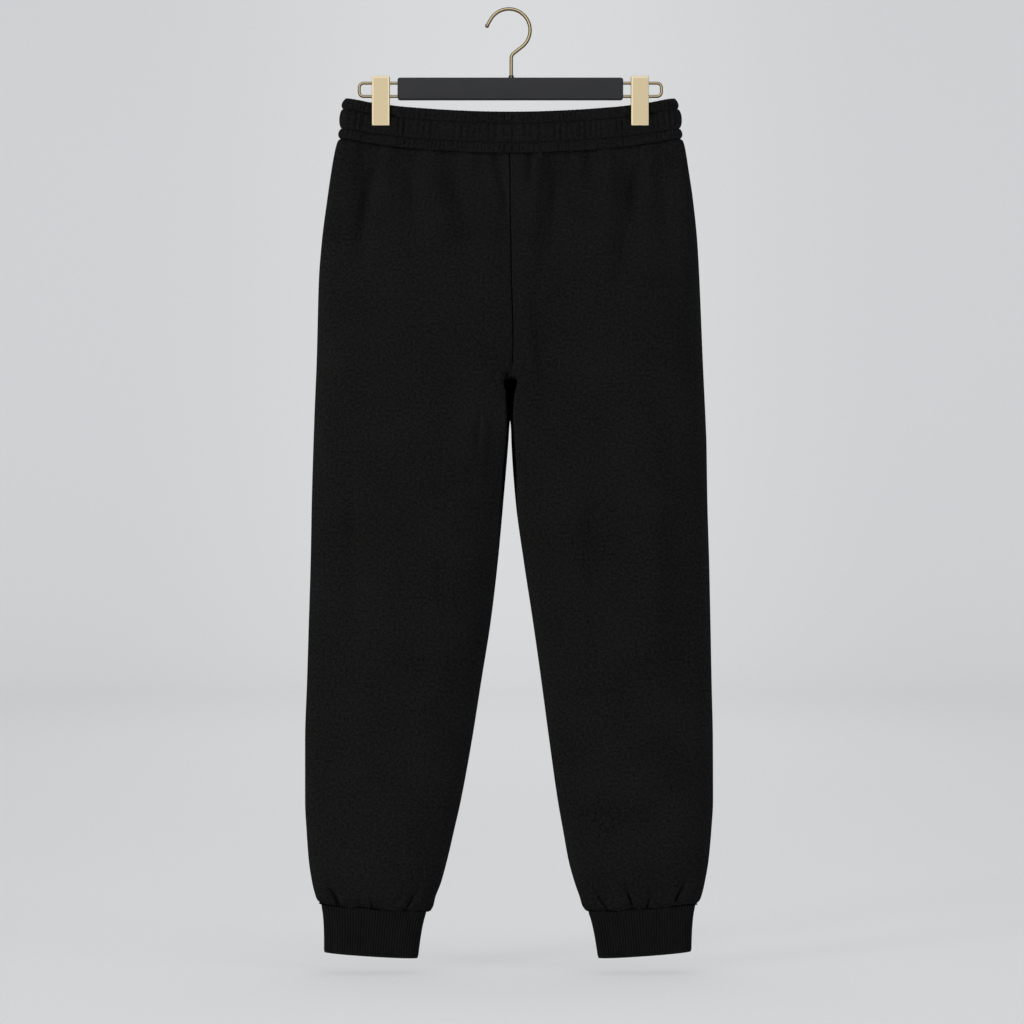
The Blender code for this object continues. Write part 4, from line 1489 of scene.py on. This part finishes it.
class BentWire:
    """A round wire bent in the XZ plane: it starts somewhere, then runs straight or round bends."""

    def __init__(self, radius: float, place: Vector, heading: float, sides: int = 20) -> None:
        """Starts the wire with a closed end.

        Args:
            radius: the wire's radius.
            place: where it starts.
            heading: its direction, as an angle from +X towards +Z.
            sides: how many sides its section has.
        """
        self.mesh = bmesh.new()
        self.place, self.heading = place.copy(), heading
        turn = Matrix.Rotation(math.pi / 2 - heading, 4, "Y")
        made = bmesh.ops.create_circle(
            self.mesh, cap_ends=True, segments=sides, radius=radius, matrix=Matrix.Translation(place) @ turn
        )
        self.end = list(dict.fromkeys(edge for vertex in made["verts"] for edge in vertex.link_edges))

    @property
    def ahead(self) -> Vector:
        """The direction in which the wire runs."""
        return Vector((math.cos(self.heading), 0, math.sin(self.heading)))

    def straight(self, length: float) -> "BentWire":
        """Runs on straight.

        Args:
            length: how far.

        Returns:
            The wire.
        """
        move = self.ahead * length
        self.end = drawn(self.mesh, self.end, move)
        self.place += move
        return self

    def bend(self, radius: float, angle: float, steps: int) -> "BentWire":
        """Runs on round a bend.

        Args:
            radius: the bend's radius at the wire's middle.
            angle: how far it turns, positive from +X towards +Z.
            steps: how many facets it has.

        Returns:
            The wire.
        """
        side = Vector((-math.sin(self.heading), 0, math.cos(self.heading))) * math.copysign(radius, angle)
        centre = self.place + side
        self.end = spun(self.mesh, self.end, centre, (0, -1, 0), angle, steps)
        self.place = centre + Matrix.Rotation(angle, 3, (0, -1, 0)) @ -side
        self.heading += angle
        return self

    def ball(self, radius: float) -> "BentWire":
        """Adds a ball round the wire's present place, and returns the wire."""
        at = Matrix.Translation(self.place)
        bmesh.ops.create_uvsphere(self.mesh, u_segments=24, v_segments=16, radius=radius, matrix=at)
        return self

    def closed(self, name: str) -> Object:
        """Closes the wire's end.

        Args:
            name: the object's name.

        Returns:
            The wire's object.
        """
        bmesh.ops.edgenet_fill(self.mesh, edges=self.end)
        bmesh.ops.recalc_face_normals(self.mesh, faces=self.mesh.faces)
        return as_object(name, self.mesh, 50)


@dataclass(frozen=True)
class Hanger:
    """The bar, its hook and collar, the wire loops at its ends, and the two clips."""

    bar_length: float = 270.4 * MM
    bar_depth: float = 12 * MM
    bar_top: float = 80.6 * MM
    bar_bottom: float = 106.7 * MM
    bar_corner: float = 3.0 * MM
    bar_edge: float = 1.9 * MM
    socket: float = 8.5 * MM
    hook_wire: float = 2.1 * MM
    hook_radius: float = 25.4 * MM
    hook_centre: tuple[float, float] = (-1.7 * MM, -23.1 * MM)
    hook_tip_length: float = 8 * MM
    hook_tip_angle: float = 151
    hook_turn_angle: float = -52
    hook_neck_radius: float = 8 * MM
    hook_stem_x: float = 1.1 * MM
    hook_ball: float = 2.6 * MM
    collar_radius: float = 3.6 * MM
    collar_height: float = 2.9 * MM
    loop_wire: float = 1.8 * MM
    loop_end: float = 183.0 * MM
    loop_top: float = 86.7 * MM
    loop_bottom: float = 102.6 * MM
    loop_corner: float = 5.2 * MM
    clip_x: float = 155.2 * MM
    clip_width: float = 21.2 * MM
    clip_top: float = 79.0 * MM
    clip_bottom: float = 138.3 * MM
    clip_slot: float = 7.6 * MM
    clip_depth: float = 11.6 * MM
    clip_head: float = 6.6 * MM
    clip_border: float = 2.0 * MM
    clip_rise: float = 0.3 * MM
    clip_edge: float = 0.35 * MM

    def bar(self) -> Object:
        """Builds the moulded bar, with rounded ends and softened edges.

        Returns:
            Its object.
        """
        mesh = bmesh.new()
        centre = (0, 0, -(self.bar_top + self.bar_bottom) / 2)
        size = (self.bar_length, self.bar_depth, self.bar_bottom - self.bar_top, 1)
        bmesh.ops.create_cube(mesh, size=1, matrix=Matrix.Translation(centre) @ Matrix.Diagonal(size))
        across = [e for e in mesh.edges if abs((e.verts[0].co - e.verts[1].co).normalized().y) > 0.9]
        rounded(mesh, across, self.bar_corner, 6)
        rims = [e for e in mesh.edges if e.calc_face_angle(0) > math.radians(60)]
        rounded(mesh, rims, self.bar_edge, 3)
        return finished(as_object("bar_moulding", mesh, 28), NYLON, "bar", "hanger_bar")

    def hook(self) -> Object:
        """Builds the hook: a ball at its tip, a large bow, a straight, a neck and the stem.

        Returns:
            Its object.
        """
        tip, turn = math.radians(self.hook_tip_angle), math.radians(self.hook_turn_angle)
        centre = Vector((self.hook_centre[0], 0, self.hook_centre[1]))
        start = centre + Vector((math.cos(tip), 0, math.sin(tip))) * self.hook_radius
        start -= Vector((math.sin(tip), 0, -math.cos(tip))) * self.hook_tip_length
        wire = BentWire(self.hook_wire, start, tip - math.pi / 2, 24).ball(self.hook_ball)
        wire.straight(self.hook_tip_length).bend(self.hook_radius, turn - tip, 64)
        neck_x = self.hook_stem_x + self.hook_neck_radius * (1 - math.cos(turn))
        wire.straight((wire.place.x - neck_x) / -math.sin(turn))
        wire.bend(self.hook_neck_radius, -turn, 14)
        wire.straight(self.bar_top + self.socket + wire.place.z)
        return finished(wire.closed("hook_wire"), WIRE_BRASS, "brass", "hanger_hook")

    def collar(self) -> Object:
        """Builds the turned ring round the hook's foot.

        Returns:
            Its object.
        """
        mesh = bmesh.new()
        low, high, axis = -self.bar_top, -self.bar_top + self.collar_height, self.hook_stem_x
        waist = self.collar_radius * 0.82
        outline = (
            (self.hook_wire * 0.9, low),
            (self.collar_radius, low),
            (self.collar_radius, low + 0.9 * MM),
            (waist, low + 1.3 * MM),
            (waist, high - 0.9 * MM),
            (self.collar_radius * 0.92, high - 0.5 * MM),
            (self.collar_radius * 0.86, high),
            (self.hook_wire * 0.9, high),
        )
        verts = [mesh.verts.new((axis + out, 0, z)) for out, z in outline]
        edges = [mesh.edges.new(pair) for pair in zip(verts, verts[1:])]
        spun(mesh, edges, (axis, 0, 0), (0, 0, 1), math.tau, 40)
        bmesh.ops.remove_doubles(mesh, verts=mesh.verts, dist=WELD)
        bmesh.ops.recalc_face_normals(mesh, faces=mesh.faces)
        return finished(as_object("hook_ferrule", mesh, 40), BLACK_STEEL, "collar", "hook_collar")

    def loop(self, side: Side) -> Object:
        """Builds the wire loop at one end of the bar.

        Args:
            side: the end.

        Returns:
            Its object.
        """
        sign = side.value
        root = Vector((sign * (self.bar_length / 2 - self.socket), 0, -self.loop_top))
        wire = BentWire(self.loop_wire, root, 0 if sign > 0 else math.pi)
        reach = self.loop_end - self.loop_wire - self.loop_corner - abs(root.x)
        drop = self.loop_bottom - self.loop_top - 2 * self.loop_corner
        corner = -sign * math.pi / 2
        wire.straight(reach).bend(self.loop_corner, corner, 10).straight(drop)
        wire.bend(self.loop_corner, corner, 10).straight(reach)
        name = f"loop_wire_{side.title}"
        return finished(wire.closed(name), WIRE_BRASS, "brass", f"hanger_loop_{side.title}")

    def clip(self, side: Side) -> Object:
        """Builds a clip: a folded plate whose two leaves grip the band, with a bevelled border.

        Args:
            side: the side that it grips.

        Returns:
            Its object.
        """
        mesh = bmesh.new()
        half, deep = self.clip_width / 2, self.clip_depth / 2 - self.clip_rise
        slot, x = self.clip_slot / 2, side.value * self.clip_x
        lines = (-deep, -slot, slot, deep)
        rails = [[mesh.verts.new((x + end * half, y, -self.clip_top)) for y in lines] for end in (-1, 1)]
        for k in range(3):
            mesh.faces.new((rails[0][k], rails[1][k], rails[1][k + 1], rails[0][k + 1]))
        self.lower(mesh, list(mesh.faces), self.clip_head)
        shoulder = -self.clip_top - self.clip_head
        foot = [f for f in mesh.faces if abs(f.calc_center_median().z - shoulder) < 1e-6]
        leaves = [f for f in foot if abs(f.calc_center_median().y) > slot]
        self.lower(mesh, leaves, self.clip_bottom - self.clip_top - self.clip_head)
        bmesh.ops.delete(mesh, geom=leaves, context="FACES_ONLY")
        bmesh.ops.remove_doubles(mesh, verts=mesh.verts, dist=WELD)
        bmesh.ops.recalc_face_normals(mesh, faces=mesh.faces)
        bmesh.ops.dissolve_limit(mesh, angle_limit=math.radians(1), verts=mesh.verts, edges=mesh.edges)
        border = {"thickness": self.clip_border, "depth": self.clip_rise, "use_even_offset": True}
        for sign in (-1, 1):
            plate = max((f for f in mesh.faces if f.normal.y * sign > 0.9), key=BMFace.calc_area)
            bmesh.ops.inset_region(mesh, faces=[plate], **border)
            plate.material_index = 1
        rims = [e for e in mesh.edges if e.calc_face_angle(0) > math.radians(12)]
        rounded(mesh, rims, self.clip_edge, 2, clamp=True)
        item = as_object(f"clip_plate_{side.title}", mesh, 5)
        plates = [face.material_index for face in item.data.polygons]
        # The border gets the paler brass, a painted highlight on the bevels.
        finished(item, EDGE_BRASS, "brass", f"clip_{side.title}")
        item.data.materials.append(CLIP_BRASS.material())
        item.data.polygons.foreach_set("material_index", plates)
        return item

    @staticmethod
    def lower(mesh: BMesh, faces: list[BMFace], depth: float) -> None:
        """Extrudes faces straight down.

        Args:
            mesh: the mesh.
            faces: the faces.
            depth: how far down.
        """
        made = bmesh.ops.extrude_face_region(mesh, geom=faces)["geom"]
        bmesh.ops.translate(mesh, verts=only(BMVert, made), vec=(0, 0, -depth))

    def build(self) -> None:
        """Builds every piece of the hanger."""
        self.bar()
        self.hook()
        self.collar()
        for side in Side:
            self.loop(side)
            self.clip(side)


@dataclass(frozen=True)
class SoftBox:
    """A square of soft light that faces a point, and lights either matt surfaces or metal."""

    name: str
    place: tuple[float, float, float]
    target: tuple[float, float, float]
    size: float
    watts: float
    tone: str = "FFFFFF"
    for_metal: bool = False

    def build(self) -> None:
        """Hangs the light."""
        light = bpy.data.lights.new(self.name, "AREA")
        light.shape, light.size, light.energy = "SQUARE", self.size, self.watts
        light.color = linear(self.tone)[:3]
        item = bpy.data.objects.new(self.name, light)
        item.location = self.place
        item.rotation_euler = (Vector(self.target) - Vector(self.place)).to_track_quat("-Z", "Y").to_euler()
        item.visible_camera = False
        item.visible_diffuse = not self.for_metal
        item.visible_glossy = self.for_metal
        bpy.context.scene.collection.objects.link(item)


@dataclass(frozen=True)
class Studio:
    """A pale cove, soft light from both sides and above, a panel for the metal, and a level camera."""

    floor: float = -1154 * MM
    camera_place: tuple[float, float, float] = (2 * MM, -2.9, -601 * MM)
    lens: float = 85
    sky: str = "D1D2D4"
    sky_strength: float = 0.18
    width: float = 30.0
    front: float = -12.0
    back: float = 4.5
    curve: float = 2.0
    wall: float = 8.0
    boxes: tuple[SoftBox, ...] = (
        SoftBox("key", (-3.7, -2.4, -0.75), (0, 0, -0.8), 0.9, 166, "FFFDFA"),
        SoftBox("fill", (3.6, -1.6, -0.8), (0, 0, -0.8), 1.0, 108, "F6F9FF"),
        SoftBox("top", (0.0, 0.0, 2.2), (0, 0, -1.15), 1.5, 31),
        SoftBox("metal panel", (-1.2, -6.5, 2.6), (0, 0, 0.0), 9.0, 235, "FFFFFF", True),
    )

    def cove(self) -> None:
        """Builds the floor and the wall that it curves up into."""
        mesh = bmesh.new()
        ends = [mesh.verts.new((sign * self.width / 2, self.front, self.floor)) for sign in (-1, 1)]
        rear = drawn(mesh, [mesh.edges.new(ends)], Vector((0, self.back - self.front, 0)))
        crest = spun(mesh, rear, (0, self.back, self.floor + self.curve), (1, 0, 0), math.pi / 2, 24)
        drawn(mesh, crest, Vector((0, 0, self.wall)))
        bmesh.ops.recalc_face_normals(mesh, faces=mesh.faces)
        item = as_object("cove", mesh)
        item.data.materials.append(COVE.material())
        item.visible_diffuse = False
        item.visible_glossy = False

    def build(self) -> None:
        """Sets up the cove, the lights, the sky and the camera."""
        self.cove()
        for box in self.boxes:
            box.build()
        world = bpy.data.worlds.new("studio")
        world.use_nodes = True
        sky = world.node_tree.nodes["Background"]
        sky.inputs["Color"].default_value = linear(self.sky)
        sky.inputs["Strength"].default_value = self.sky_strength
        scene = bpy.context.scene
        scene.world = world
        scene.view_settings.view_transform = "Standard"
        camera = bpy.data.cameras.new("camera")
        camera.lens = self.lens
        camera.sensor_width = 36
        item = bpy.data.objects.new("camera", camera)
        item.location = self.camera_place
        item.rotation_euler = (math.pi / 2, 0, 0)
        scene.collection.objects.link(item)
        scene.camera = item


def main() -> None:
    """Builds the studio, the hanger and the garment."""
    logging.basicConfig(level=logging.INFO, format="%(name)s: %(message)s")
    Studio().build()
    Hanger().build()
    form = TrouserForm()
    Waistband(form, (0.92, 0.052)).build()
    cuts = {Face.BACK: ((0.268, 0.93), 0.215), Face.FRONT: ((0.262, 0.93), 0.21)}
    for face, (flat, area) in cuts.items():
        for side in Side:
            LegPanel(side, face, form, flat, area).build()
    Cuff(Side.LEFT, LEFT_CUFF, (0.26, 0.058)).build()
    Cuff(Side.RIGHT, RIGHT_CUFF, (0.26, 0.058)).build()


if __name__ == "__main__":
    main()
